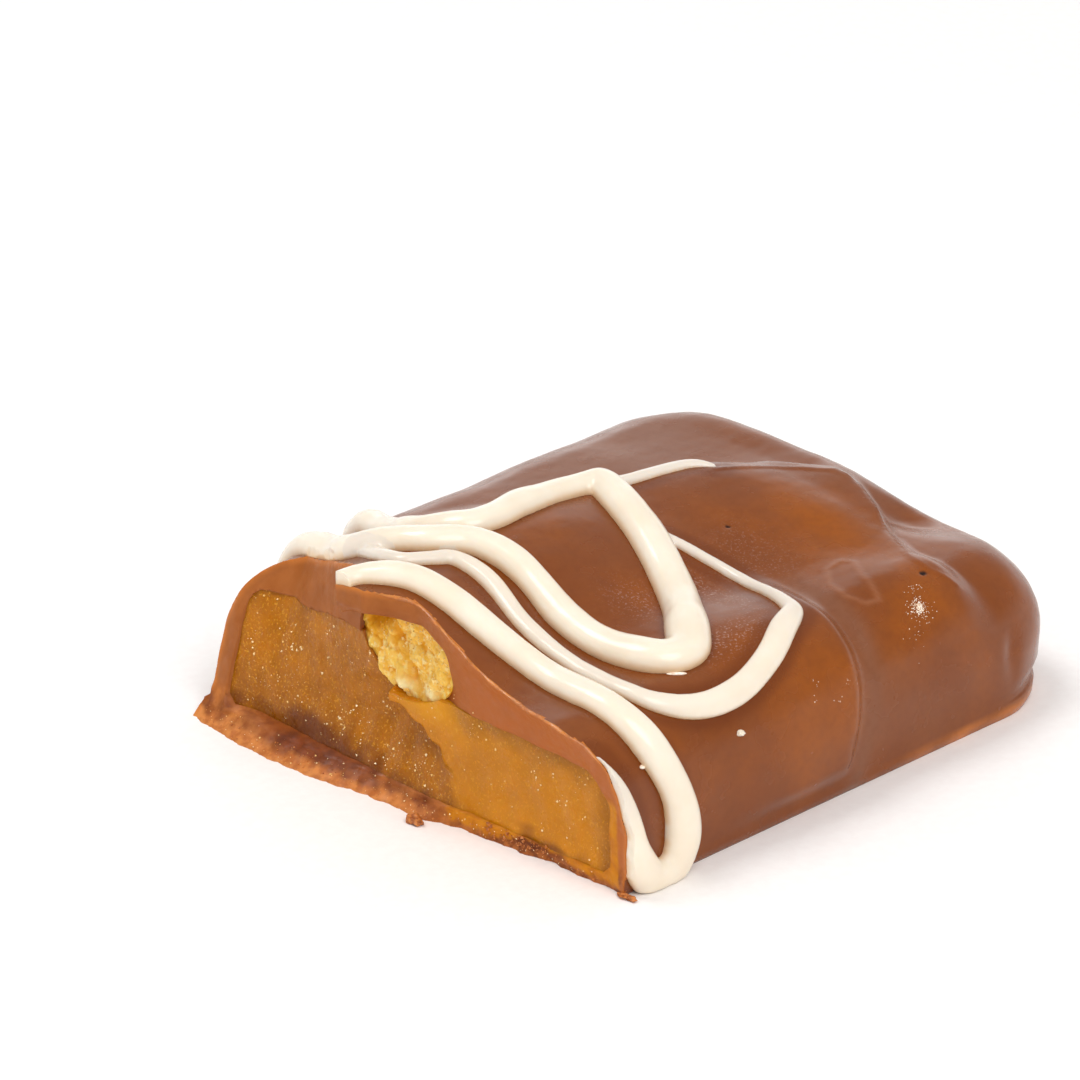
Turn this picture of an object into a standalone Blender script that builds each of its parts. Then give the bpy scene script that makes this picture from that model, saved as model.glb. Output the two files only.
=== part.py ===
"""Half of a filled chocolate bar, broken across.

A milk chocolate coating with cream-coloured drizzle over it, a slab of
caramel inside, and a crisp biscuit rod lying lengthwise under the roof of the
coating.  The bar lies flat on its base.  The broken end faces -X, the whole
rounded end faces +X, and +Z is up.

The shape is worked out in millimetres, with x = 0 near the broken end and
y = 0 on the middle of the bar.  OFFSET then brings the middle of the whole
piece over the origin, and MM turns the sizes into metres.
"""

import bpy
import bmesh
import math
import numpy as np
from mathutils import Matrix

MM = 0.001

# Size of the coated bar
END_X = 42.5            # outside of the whole end
WALL_Y = 18.7           # half of the width over the side walls
CORNER = 7.5            # plan radius at the whole end
WALL_TOP = 4.2          # height where the walls start to round over
SHOULDER = 5.5          # how far in from the wall the rounding reaches
ROUNDING = 2.1          # fullness of that rounding
FACE_Z = 10.5           # plain height of the upper face

# Thin foot that spread under the walls: how far out, and how high.  The long
# near side has hardly any.
FOOT = [(-0.05, 2.6), (-0.22, 1.2), (0.12, 0.95), (0.2, 0.45), (0.05, 0.0)]
PLAIN_FOOT = [(-0.03, 2.6), (-0.09, 1.2), (-0.12, 0.95), (-0.14, 0.45), (-0.32, 0.0)]
TUCK = 0.55             # how far the foot draws in under the whole end

# Caramel slab, with a clear gap to the coating
GAP = 0.3
CARAMEL_Y = 17.2
CARAMEL_END = 40.4
CARAMEL_LOW = 0.95
CARAMEL_NEAR_Z = 7.5
CARAMEL_PEAK_Z = 9.35
CARAMEL_FAR_Z = 8.3
CARAMEL_ROUND = 2.6
CARAMEL_FAR_ROUND = 1.2

# Crisp biscuit rod
ROD_WIDE = 9.0
ROD_HIGH = 6.4
ROD_END = 35.0
ROD_Z = 9.8
ROD_FALL = 0.065

# Steps of the meshes
SECTIONS = 30
ACROSS = 36
ROPE_STEP = 1.0
ROPE_SIDES = 9

OFFSET = (-20.01, 0.01)


def ease(a, b, t):
    """Smooth step from 0 at a to 1 at b."""
    q = np.clip((np.asarray(t, float) - a) / (b - a), 0.0, 1.0)
    return q * q * (3.0 - 2.0 * q)


def through(t, knots):
    """Smooth curve through a few (position, value) pairs."""
    t = np.asarray(t, float)
    value = np.full(t.shape, float(knots[0][1]))
    for (a, va), (b, vb) in zip(knots[:-1], knots[1:]):
        value = value + (vb - va) * ease(a, b, t)
    return value


def straight(t, knots):
    """Straight lines through a few (position, value) pairs."""
    return np.interp(t, [k[0] for k in knots], [k[1] for k in knots])


def mound(u, v, centre, reach, height):
    """Soft round swelling."""
    a = (u - centre[0]) / reach[0]
    b = (v - centre[1]) / reach[1]
    return height * np.exp(-a * a - b * b)


def ripple(seed, size, count, u, v):
    """Unevenness between about -1 and 1, with features near the given size."""
    rng = np.random.default_rng(seed)
    total = np.zeros(np.broadcast(u, v).shape)
    for _ in range(count):
        turn = rng.uniform(0.0, 2.0 * math.pi)
        wave = 2.0 * math.pi / (size * rng.uniform(0.7, 1.5))
        phase = rng.uniform(0.0, 2.0 * math.pi)
        total = total + np.sin(wave * (u * math.cos(turn) + v * math.sin(turn)) + phase)
    return total / math.sqrt(count)


# Outer form

def inside(x, y):
    """How far a plan point lies in from the outline of the walls."""
    ax = np.maximum(x - (END_X - CORNER), 0.0)
    ay = np.maximum(np.abs(y) - (WALL_Y - CORNER), 0.0)
    corner = CORNER - np.hypot(ax, ay)
    side = np.minimum(END_X - x, WALL_Y - np.abs(y))
    return np.where((ax > 0.0) & (ay > 0.0), corner, side)


def half_width(x):
    q = np.clip((x - (END_X - CORNER)) / CORNER, 0.0, 1.0)
    return WALL_Y - CORNER + CORNER * np.sqrt(1.0 - q * q)


def crest(x):
    """Line of the ridge that the rod raises along the upper face."""
    return through(x, [(0, 2.0), (7, 3.3), (21, 3.4), (28, 2.0), (33, 0.3), (38, -4.0)])


def ridge_stop(y):
    """Where the ridge ends and the face drops to the low whole end."""
    return straight(y, [(-19, 32.2), (-15.5, 32.0), (-12, 32.0), (-9.5, 33.2),
                        (-7.5, 34.8), (-5, 36.0), (-2, 36.6), (4, 37.2), (19, 37.5)])


def face(x, y):
    """Upper face before its edges are rounded over."""
    low = 10.8 + np.where(y > 0.0, 0.045, 0.09) * y + mound(x, y, (39.0, 4.0), (3.5, 7.0), 0.6)
    rise = through(x, [(0, 4.0), (10, 3.6), (28, 2.55), (36, 1.5)])
    middle = crest(x)
    far = through(x, [(0, 13.0), (12, 11.0), (26, 6.0), (36, 5.0)])
    t = np.where(y > middle, (y - middle) / far, (middle - y) / 13.5)
    plain = FACE_Z + 0.25 * np.cos(math.pi * y / 30.0) + 0.2 * ease(4.0, 14.0, y)
    high = plain + rise * (1.0 - ease(0.0, 1.0, t))
    drop = ridge_stop(y)
    blend = ease(0.0, 1.0, (x - drop + 0.4) / (1.8 + 0.14 * np.abs(y + 8.0)))
    dent = mound(x, y, (38.2, -7.0), (2.2, 3.0), 1.1)
    return high + (low - high) * blend - dent


def skin_height(x, y):
    depth = np.clip(inside(x, y) / SHOULDER, 0.0, 1.0)
    share = (1.0 - (1.0 - depth) ** ROUNDING) ** (1.0 / ROUNDING)
    return WALL_TOP + (face(x, y) - WALL_TOP) * share


def outward(x, y):
    """Plan direction that points straight out of the wall."""
    ax = max(x - (END_X - CORNER), 0.0)
    ay = max(abs(y) - (WALL_Y - CORNER), 1e-9)
    size = math.hypot(ax, ay)
    return ax / size, math.copysign(ay / size, y)


def foot(x, near):
    """Rows of the foot at x, drawn in toward the whole end."""
    share = TUCK * float(ease(33.0, 40.0, x))
    plain = 1.0 - float(ease(33.0, 38.0, x)) if near else 0.0
    rows = []
    for (out, high), (slim, _) in zip(FOOT, PLAIN_FOOT):
        out = out + (slim - out) * plain
        rows.append((out - share * (1.0 - high / FOOT[0][1]), high))
    return rows


def section(x, count):
    """Points over one section, from the far foot across the top to the near foot."""
    half = float(half_width(x))
    y = half * np.sin(np.linspace(math.pi / 2.0, -math.pi / 2.0, count))
    z = skin_height(np.full(count, float(x)), y)
    nx, ny = outward(x, half)
    low = [(x + nx * out, half + ny * out, high) for out, high in foot(x, False)]
    rows = low[::-1] + [(x, a, b) for a, b in zip(y, z)]
    rows += [(x + nx * out, -half - ny * out, high) for out, high in foot(x, True)]
    return np.array(rows)


def girth(points):
    """Distance along sections, zero on y = 0, growing toward -Y."""
    step = np.linalg.norm(np.diff(points[..., 1:], axis=-2), axis=-1)
    total = np.concatenate([np.zeros(step.shape[:-1] + (1,)), np.cumsum(step, axis=-1)], axis=-1)
    half = (points.shape[-2] - 1) / 2.0
    a = total[..., int(math.floor(half))]
    b = total[..., int(math.ceil(half))]
    return total - ((a + b) / 2.0)[..., None]


def swelling(x, g):
    """Relief of the coating, measured out from the plain form."""
    fold = straight(g, [(8, 23.4), (12.5, 22.7), (15.4, 22.4), (18.1, 22.1), (21.7, 21.3),
                        (23.5, 21.0), (25.4, 20.4), (27.4, 19.4)])
    left = 0.55 * (1.0 - ease(-1.3, 0.2, x - fold)) * ease(7.0, 13.0, g) * ease(5.0, 17.0, x)
    groove = -0.18 * np.exp(-((x - fold - 0.5) / 0.8) ** 2) * ease(9.0, 12.0, g)
    right = mound(x, g, (30.0, 15.5), (4.2, 4.6), 0.45)
    nick = mound(x, g, (35.5, 22.0), (0.7, 1.4), -0.3)
    uneven = 0.07 * ripple(5, 11.0, 6, x, g) * ease(1.0, 6.0, x)
    return left + groove + right + nick + uneven


def skin(rows, count):
    """Grid of points on the finished outer skin, one row for each section."""
    grid = np.array([section(x, count) for x in rows])
    along = np.gradient(grid, axis=0)
    over = np.gradient(grid, axis=1)
    normal = np.cross(over, along)
    size = np.linalg.norm(normal, axis=-1, keepdims=True)
    normal = normal / np.maximum(size, 1e-9)
    g = girth(grid)
    out = swelling(grid[..., 0], g) * ease(0.0, 1.2, grid[..., 2] - 1.2)
    out = out * ease(0.0, 2.5, END_X - grid[..., 0])
    return grid + normal * out[..., None]


def on_skin(x, g):
    """Point on the finished skin and its outward normal."""
    rows = [x - 0.4, x, x + 0.4]
    grid = skin(rows, 121)
    walk = girth(grid)
    here = []
    for row, at in ((1, g), (0, g), (2, g), (1, g - 0.4), (1, g + 0.4)):
        here.append([np.interp(at, walk[row], grid[row, :, k]) for k in range(3)])
    here = np.array(here)
    normal = np.cross(here[4] - here[3], here[2] - here[1])
    normal = normal / np.linalg.norm(normal)
    return here[0], normal


# Broken faces, as the x where each of them lies

RIM = [(-18.7, -0.35), (-17.6, -0.43), (-16.2, -0.7), (-14.9, -1.25), (-11.7, -1.15), (-9, -0.9),
       (-6.6, -0.75), (-4.3, -0.5), (-1.2, -0.15), (-0.2, -0.8), (0.9, -1.5), (1.6, -2.0),
       (3.8, -2.1), (4.4, 0.9), (8, 2.2), (11, 3.7), (14, 4.7), (16.2, 3.4), (17.8, 2.4),
       (18.7, 2.2)]
BASE = [(-18.7, 0.0), (-17, 0.4), (-15, 0.15), (-12.5, 0.35), (-10.6, 0.0), (-8, -0.1), (-5.5, -0.3),
        (-3.8, -0.5), (-3, -0.9), (-1.5, -1.2), (0.5, -1.0), (4, -1.3), (7, -1.9), (10, -1.9),
        (14, -1.7), (17, -1.2), (18.7, -0.9)]
MIDDLE = [(-18.7, 0.05), (-9, 0.4), (-5, 0.4), (-2, 1.2), (3, 1.9), (8, 1.8), (12, 1.7),
          (17.2, 1.45), (18.7, 1.6)]
SWING = [(-18.7, 3.5), (-17, 6.0), (-15, 7.6), (-2, 8.0), (3, 6.0), (5, 4.0)]
TOP = [(-18.7, 6), (-17.4, 8.4), (-15, 10.0), (-9, 11.0), (-3, 12.8), (0, 13.0), (5, 12.5),
       (8, 12.6), (11, 11.6), (14, 10.3), (17.8, 7.6), (18.7, 6)]


def lean(y, z):
    """How far along the way from the lower face to the rim."""
    swing = straight(y, SWING)
    return np.clip((z - swing) / (straight(y, TOP) - swing), 0.0, 1.1)


def break_coating(y, z):
    middle = straight(y, MIDDLE)
    base = straight(y, BASE)
    share = straight(z, [(0, 0), (0.75, 0.42), (2, 0.72), (4, 1)])
    x = base + (middle - base) * share + (straight(y, RIM) - middle) * lean(y, z)
    hollow = 0.3 * mound(y, z, (-8.0, 9.5), (5.0, 1.4), 1.0)
    rough = 0.05 * ripple(11, 2.2, 7, y, z)
    rough = rough + 0.12 * ripple(12, 1.1, 7, y, z) * (1.0 - ease(0.9, 2.4, z))
    return x + hollow + rough


def break_caramel(y, z):
    step = straight(z, [(1.0, -4.2), (2.8, -3.0), (3.8, -2.1), (5.3, -0.2), (6.2, 2.4), (9.0, 3.4)])
    left = ease(-0.6, 0.6, y - step)
    middle = straight(y, MIDDLE)
    toe = straight(y, [(-5, -0.1), (1, 0.1), (5.5, 0.4), (10.4, 0.7), (14.6, 1.1), (17.5, 0.6)])
    deep = toe + (middle - toe) * np.clip((z - 0.95) / 3.05, 0.0, 1.0)
    rim = straight(y, RIM[13:])
    deep = deep + (rim - middle) * lean(y, z) + 0.12
    flush = 0.55 - 0.25 * (1.0 - ease(1.0, 3.0, z))
    return flush + (deep - flush) * left + 0.06 * ripple(21, 2.6, 7, y, z)


def break_rod(y, z):
    return 1.3 + 0.12 * (y - 1.0) + 0.28 * ripple(31, 1.9, 9, y, z)


# Meshes

def make_object(name, points, faces):
    mesh = bpy.data.meshes.new(name)
    mesh.from_pydata([tuple(p) for p in points], [], faces)
    mesh.validate()
    mesh.update()
    part = bpy.data.objects.new(name, mesh)
    bpy.context.scene.collection.objects.link(part)
    return part


def grid_faces(first, rows, columns):
    faces = []
    for i in range(rows - 1):
        for j in range(columns - 1):
            a = first + i * columns + j
            faces.append((a, a + columns, a + columns + 1, a + 1))
    return faces


def tube(rings, name):
    """Closed body from rings of equal count, with flat ends."""
    count = len(rings[0])
    points = [tuple(p) for ring in rings for p in ring]
    faces = []
    for i in range(len(rings) - 1):
        for j in range(count):
            k = (j + 1) % count
            faces.append((i * count + j, i * count + k, (i + 1) * count + k, (i + 1) * count + j))
    faces.append(tuple(range(count))[::-1])
    faces.append(tuple(range((len(rings) - 1) * count, len(rings) * count)))
    return make_object(name, points, faces)


def coated_block():
    """Whole outside of the bar as one solid, running past the broken end."""
    plain = np.linspace(-4.0, END_X - CORNER, SECTIONS, endpoint=False)
    turn = np.linspace(0.0, math.pi / 2.0, 12)
    rows = np.concatenate([plain, END_X - CORNER + CORNER * np.sin(turn)])
    grid = skin(rows, ACROSS)
    count, columns = grid.shape[:2]
    points = [tuple(p) for p in grid.reshape(-1, 3)]
    faces = grid_faces(0, count, columns)
    edge = len(FOOT)
    start = (count - 1) * columns
    above = [start + edge + k for k in range(ACROSS)]
    for level, (out, high) in enumerate(foot(END_X, False)):
        below = [start + edge - 1 - level]
        for k in range(1, ACROSS - 1):
            below.append(len(points))
            points.append((END_X + out, grid[-1, edge + k, 1], high))
        below.append(start + edge + ACROSS + level)
        for k in range(ACROSS - 1):
            faces.append((above[k], below[k], below[k + 1], above[k + 1]))
        above = below
    front = list(range(columns))
    faces.append(tuple(front))
    far_side = [i * columns for i in range(count)]
    near_side = [i * columns + columns - 1 for i in range(count)]
    faces.append(tuple(far_side[::-1] + near_side + above[1:-1][::-1]))
    return make_object("chocolate_coating", points, faces)


def loft_block(name, grow):
    """The slab: flat-bottomed, with rounded top edges and a rounded end."""
    half = CARAMEL_Y + grow
    low = CARAMEL_LOW - grow
    stop = CARAMEL_END + grow
    radius = CARAMEL_ROUND + grow
    far_radius = CARAMEL_FAR_ROUND + grow
    rings = []
    for x in (-6.0, 2.0, 8.0, 15.0, 22.0, 28.0, 33.0, stop - 4.5, stop - 2.2, stop - 0.8, stop):
        pull = 5.5 * (1.0 - math.sqrt(max(1.0 - ((x - stop + 5.0) / 5.0) ** 2, 0.0))) \
            if x > stop - 5.0 else 0.0
        sink = 0.35 * pull
        w = half - pull
        ring = []
        for k in range(8):
            y = -w + 0.6 + (2.0 * w - 1.2) * k / 7.0
            ring.append((x, y, low))
        ring.append((x, w, low + 0.6))
        top_far = CARAMEL_FAR_Z + grow - sink
        for k in range(5):
            a = math.radians(22.5 * k)
            ring.append((x, w - far_radius + far_radius * math.cos(a),
                         top_far - far_radius + far_radius * math.sin(a)))
        for k in range(1, 9):
            y = (w - far_radius) - (2.0 * w - radius - far_radius) * k / 9.0
            z = CARAMEL_NEAR_Z + (CARAMEL_PEAK_Z - CARAMEL_NEAR_Z) * float(ease(-2.0, 6.0, y))
            z = z - (CARAMEL_PEAK_Z - CARAMEL_FAR_Z) * float(ease(7.0, 13.0, y))
            ring.append((x, y, z + grow - sink))
        top_near = CARAMEL_NEAR_Z + grow - sink
        for k in range(5):
            a = math.radians(90.0 + 22.5 * k)
            ring.append((x, -w + radius + radius * math.cos(a),
                         top_near - radius + radius * math.sin(a)))
        ring.append((x, -w, low + 0.6))
        rings.append(ring[::-1])
    return tube(rings, name)


def rod_block(name, grow):
    """The rod under the ridge: an oval that follows the crest of the skin."""
    rings = []
    sides = 22
    for x in (-6.0, 1.0, 5.0, 10.0, 16.0, 22.0, 27.0, 30.0, 32.0, 33.6, 34.5, 35.0):
        wide = ROD_WIDE / 2.0
        high = ROD_HIGH / 2.0
        if x > ROD_END - 3.0:
            shrink = math.sqrt(max(1.0 - ((x - ROD_END + 3.0) / 3.3) ** 2, 0.0))
            wide *= shrink
            high *= shrink
        centre_y = float(crest(x)) - 1.0
        centre_z = ROD_Z - ROD_FALL * x
        ring = []
        for k in range(sides):
            a = 2.0 * math.pi * k / sides
            bumpy = 1.0 + 0.03 * math.sin(3.0 * a + 0.4 * x) + 0.02 * math.sin(5.0 * a + 1.3)
            ring.append((x + (grow if x == ROD_END else 0.0),
                         centre_y + (wide * bumpy + grow) * math.cos(a),
                         centre_z + (high * bumpy + grow) * math.sin(a)))
        rings.append(ring[::-1])
    return tube(rings, name)


def break_cutter(name, where, spacing):
    """Solid that fills everything in front of a broken face."""
    y = np.arange(-23.0, 23.0 + spacing, spacing)
    y = np.unique(np.concatenate([y, [4.4, 5.2]]))
    z = np.arange(-2.0, 21.0, spacing)
    yy, zz = np.meshgrid(y, z, indexing="ij")
    x = where(yy, zz)
    rows, columns = x.shape
    back = np.stack([x, yy, zz], axis=-1).reshape(-1, 3)
    faces = grid_faces(0, rows, columns)
    points = [tuple(p) for p in back]
    rim = [i * columns for i in range(rows)]
    rim += [(rows - 1) * columns + j for j in range(1, columns)]
    rim += [i * columns + columns - 1 for i in range(rows - 2, -1, -1)]
    rim += list(range(columns - 2, 0, -1))
    front = []
    for index in rim:
        front.append(len(points))
        points.append((-12.0, points[index][1], points[index][2]))
    count = len(rim)
    for k in range(count):
        m = (k + 1) % count
        faces.append((rim[m], rim[k], front[k], front[m]))
    faces.append(tuple(front))
    return make_object(name, points, faces)


# Drizzle: (x, distance over the skin from the middle, width, height)

DRIZZLE = {
    "drizzle_front": [
        (-3.6, -3.5, 1.8, 0.9), (-1.5, -3.3, 1.9, 0.95), (-0.1, -2.1, 2.1, 1.05),
        (1.0, -0.5, 2.2, 1.1), (1.6, 1.8, 2.2, 1.15), (2.0, 5.0, 2.2, 1.15),
        (2.6, 10.0, 2.2, 1.15), (2.7, 15.0, 2.3, 1.1),
        (3.4, 18.8, 2.4, 1.1), (4.4, 22.1, 2.5, 1.1), (4.7, 24.8, 2.6, 1.15),
        (3.9, 26.7, 2.6, 1.15), (2.1, 26.7, 2.5, 1.1), (0.9, 24.9, 2.2, 1.0),
        (0.3, 22.4, 1.7, 0.75), (-0.2, 19.9, 1.1, 0.5), (-0.7, 18.1, 0.6, 0.3)],
    "drizzle_thin": [
        (4.2, -8.6, 1.2, 0.6), (3.0, -5.6, 1.2, 0.6), (2.6, -3.2, 1.2, 0.6),
        (4.1, -2.2, 1.3, 0.6), (5.5, -1.4, 1.4, 0.65), (5.9, 1.4, 1.45, 0.7),
        (5.1, 5.7, 1.4, 0.65), (5.1, 10.4, 1.35, 0.65), (5.2, 14.8, 1.4, 0.65),
        (6.7, 16.7, 1.6, 0.7), (9.2, 17.6, 1.7, 0.75), (12.1, 17.5, 1.7, 0.75),
        (15.2, 16.5, 1.7, 0.75), (17.8, 15.2, 1.6, 0.7), (19.7, 14.3, 1.3, 0.6),
        (20.2, 13.5, 1.1, 0.55), (20.8, 11.4, 0.9, 0.5), (21.3, 8.8, 0.9, 0.45),
        (21.2, 6.8, 0.9, 0.45), (20.8, 5.0, 0.9, 0.45),
        (20.5, 3.9, 0.85, 0.42), (20.1, 2.8, 0.8, 0.4)],
    "drizzle_thick": [
        (7.6, -23.5, 2.3, 1.2), (7.2, -18.5, 2.3, 1.2), (5.6, -13.0, 2.3, 1.2),
        (4.4, -9.4, 2.3, 1.25), (4.9, -6.7, 2.3, 1.25), (5.7, -4.4, 2.3, 1.25),
        (7.9, -2.0, 2.3, 1.3), (8.6, 1.4, 2.3, 1.3), (8.0, 6.4, 2.4, 1.3),
        (8.3, 10.2, 2.6, 1.35), (9.3, 13.0, 2.8, 1.4), (11.1, 13.5, 2.9, 1.4),
        (12.9, 12.0, 2.9, 1.4), (16.2, 7.9, 2.8, 1.35), (18.2, 3.9, 2.7, 1.3),
        (20.0, -0.8, 2.6, 1.25), (21.2, -3.9, 2.4, 1.2)],
    "drizzle_back": [
        (21.2, -4.2, 2.5, 1.15), (18.9, -4.8, 2.5, 1.15), (14.8, -4.5, 2.4, 1.15),
        (11.3, -4.0, 2.3, 1.15), (9.3, -4.8, 2.3, 1.15), (8.6, -8.0, 2.2, 1.15),
        (10.6, -13.6, 2.2, 1.15), (12.8, -19.0, 2.2, 1.1), (13.6, -23.5, 2.1, 1.0)],
    "drizzle_tail": [
        (21.4, -4.0, 1.2, 0.6), (22.8, -3.5, 1.1, 0.5), (24.6, -3.3, 1.3, 0.5),
        (26.4, -3.2, 1.5, 0.5), (27.6, -2.9, 1.4, 0.45), (28.5, -2.1, 0.9, 0.3),
        (28.9, -1.4, 0.4, 0.2)],
}


def smooth_path(controls, step):
    """Even steps along a smooth curve through the control rows."""
    rows = np.array(controls, float)
    padded = np.vstack([2.0 * rows[0] - rows[1], rows, 2.0 * rows[-1] - rows[-2]])
    fine = []
    for i in range(1, len(padded) - 2):
        p0, p1, p2, p3 = padded[i - 1:i + 3]
        for t in np.linspace(0.0, 1.0, 12, endpoint=False):
            fine.append(0.5 * (2.0 * p1 + (p2 - p0) * t
                               + (2.0 * p0 - 5.0 * p1 + 4.0 * p2 - p3) * t * t
                               + (3.0 * p1 - p0 - 3.0 * p2 + p3) * t ** 3))
    fine.append(padded[-2])
    fine = np.array(fine)
    walk = np.concatenate([[0.0], np.cumsum(np.linalg.norm(np.diff(fine[:, :2], axis=0), axis=1))])
    count = max(int(round(walk[-1] / step)), 3)
    at = np.linspace(0.0, walk[-1], count + 1)
    return np.stack([np.interp(at, walk, fine[:, k]) for k in range(4)], axis=1)


def rope(name, controls):
    """One run of drizzle, half sunk in the skin, with rounded ends."""
    path = smooth_path(controls, ROPE_STEP)
    place = [on_skin(row[0], row[1]) for row in path]
    centre = np.array([p for p, _ in place])
    normal = np.array([n for _, n in place])
    travel = np.gradient(centre, axis=0)
    travel = travel / np.linalg.norm(travel, axis=1, keepdims=True)
    side = np.cross(travel, normal)
    side = side / np.linalg.norm(side, axis=1, keepdims=True)
    rings = []
    last = len(path) - 1
    for i in range(last + 1):
        wide = path[i, 2] / 2.0
        high = path[i, 3]
        ends = [(0.0, 1.0)]
        if i == 0:
            ends = [(-0.42, 0.45), (-0.22, 0.85), (0.0, 1.0)]
        if i == last:
            ends = [(0.0, 1.0), (0.22, 0.85), (0.42, 0.45)]
        for ahead, scale in ends:
            middle = centre[i] + travel[i] * ahead * 2.0 * wide
            middle = middle + normal[i] * 0.06 * high
            ring = []
            for k in range(ROPE_SIDES):
                a = 2.0 * math.pi * (k + 0.5) / ROPE_SIDES
                up = math.sin(a)
                lift = high * up if up > 0.0 else 0.8 * high * up
                ring.append(middle + scale * (side[i] * wide * math.cos(a) + normal[i] * lift))
            rings.append(ring)
    body = tube(rings, name)
    for corner in body.data.vertices:
        if corner.co.z < 0.0:
            corner.co.z = 0.0
    return body


# Booleans and looks

def apply_all(part):
    bpy.context.view_layer.objects.active = part
    for other in bpy.context.selected_objects:
        other.select_set(False)
    part.select_set(True)
    for modifier in list(part.modifiers):
        bpy.ops.object.modifier_apply(modifier=modifier.name)


def cut(part, cutter):
    step = part.modifiers.new("Cut", 'BOOLEAN')
    step.operation = 'DIFFERENCE'
    step.solver = 'EXACT'
    step.object = cutter
    apply_all(part)
    bpy.data.objects.remove(cutter, do_unlink=True)


def face_outward(part):
    """Turn the faces of a closed body so that they point out."""
    bpy.context.view_layer.objects.active = part
    for other in bpy.context.selected_objects:
        other.select_set(False)
    part.select_set(True)
    bpy.ops.object.mode_set(mode='EDIT')
    bpy.ops.mesh.select_all(action='SELECT')
    bpy.ops.mesh.normals_make_consistent(inside=False)
    bpy.ops.object.mode_set(mode='OBJECT')


def keep_largest(part):
    """Drop loose scraps that a cut left beside the body."""
    mesh = bmesh.new()
    mesh.from_mesh(part.data)
    left = set(mesh.verts)
    groups = []
    while left:
        waiting = [left.pop()]
        group = list(waiting)
        while waiting:
            corner = waiting.pop()
            for edge in corner.link_edges:
                other = edge.other_vert(corner)
                if other in left:
                    left.discard(other)
                    waiting.append(other)
                    group.append(other)
        groups.append(group)
    groups.sort(key=len)
    loose = [corner for group in groups[:-1] for corner in group]
    bmesh.ops.delete(mesh, geom=loose, context='VERTS')
    mesh.to_mesh(part.data)
    mesh.free()


def finish(part, material, smooth_angle=40.0):
    keep_largest(part)
    shift = Matrix.Translation((OFFSET[0], OFFSET[1], 0.0))
    part.data.transform(Matrix.Scale(MM, 4) @ shift)
    part.data.materials.clear()
    part.data.materials.append(material)
    for polygon in part.data.polygons:
        polygon.material_index = 0
    for other in bpy.context.selected_objects:
        other.select_set(False)
    bpy.context.view_layer.objects.active = part
    part.select_set(True)
    bpy.ops.object.shade_smooth_by_angle(angle=math.radians(smooth_angle))
    for modifier in list(part.modifiers):
        bpy.ops.object.modifier_apply(modifier=modifier.name)


def plain_material(name, colour, roughness):
    material = bpy.data.materials.new(name)
    material.use_nodes = True
    shader = material.node_tree.nodes["Principled BSDF"]
    shader.inputs["Base Color"].default_value = (*colour, 1.0)
    shader.inputs["Roughness"].default_value = roughness
    shader.inputs["Metallic"].default_value = 0.0
    material.diffuse_color = (*colour, 1.0)
    return material


def build():
    for item in list(bpy.data.objects):
        bpy.data.objects.remove(item, do_unlink=True)

    coating = coated_block()
    face_outward(coating)
    runs = bpy.data.collections.new("drizzle_runs")
    bpy.context.scene.collection.children.link(runs)
    for name, controls in DRIZZLE.items():
        run = rope(name, controls)
        face_outward(run)
        bpy.context.scene.collection.objects.unlink(run)
        runs.objects.link(run)
    fuse = coating.modifiers.new("Fuse", 'BOOLEAN')
    fuse.operation = 'UNION'
    fuse.solver = 'EXACT'
    fuse.operand_type = 'COLLECTION'
    fuse.collection = runs
    apply_all(coating)
    for run in list(runs.objects):
        bpy.data.objects.remove(run, do_unlink=True)
    bpy.data.collections.remove(runs)

    front = break_cutter("coating_front", break_coating, 1.0)
    face_outward(front)
    cut(coating, front)
    room = loft_block("caramel_room", GAP)
    face_outward(room)
    cut(coating, room)
    room = rod_block("rod_room", GAP)
    face_outward(room)
    cut(coating, room)

    caramel = loft_block("caramel_filling", 0.0)
    face_outward(caramel)
    room = rod_block("rod_room", GAP)
    face_outward(room)
    cut(caramel, room)
    front = break_cutter("caramel_front", break_caramel, 1.0)
    face_outward(front)
    cut(caramel, front)

    rod = rod_block("biscuit_core", 0.0)
    face_outward(rod)
    front = break_cutter("rod_front", break_rod, 0.8)
    face_outward(front)
    cut(rod, front)

    finish(coating, plain_material("milk_chocolate", (0.27, 0.095, 0.035), 0.35))
    finish(caramel, plain_material("caramel", (0.50, 0.17, 0.018), 0.4))
    finish(rod, plain_material("biscuit", (0.72, 0.42, 0.13), 0.85), 30.0)


build()
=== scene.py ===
"""Finished look of half a filled chocolate bar, broken across.

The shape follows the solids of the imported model.  It is worked out in
millimetres, with x = 0 near the broken end and y = 0 on the middle of the
bar, and moved into the frame of the model at the end.
"""

import bpy
import math
import numpy as np
from mathutils import Matrix, Vector
from mathutils.kdtree import KDTree


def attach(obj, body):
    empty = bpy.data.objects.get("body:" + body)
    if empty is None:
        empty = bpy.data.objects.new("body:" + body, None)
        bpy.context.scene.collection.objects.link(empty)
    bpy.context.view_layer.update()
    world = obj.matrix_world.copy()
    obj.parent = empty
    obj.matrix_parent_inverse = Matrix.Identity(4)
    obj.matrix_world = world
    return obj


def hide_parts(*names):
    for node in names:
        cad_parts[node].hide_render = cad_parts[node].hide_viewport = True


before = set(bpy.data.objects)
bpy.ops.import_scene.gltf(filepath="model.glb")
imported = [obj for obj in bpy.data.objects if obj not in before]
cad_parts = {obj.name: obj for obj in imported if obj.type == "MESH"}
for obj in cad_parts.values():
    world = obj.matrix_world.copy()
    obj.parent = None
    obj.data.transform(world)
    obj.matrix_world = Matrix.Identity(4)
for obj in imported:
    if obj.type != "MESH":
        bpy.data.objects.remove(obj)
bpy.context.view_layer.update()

MM = 0.001
OFFSET = (-20.01, 0.01)

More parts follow.
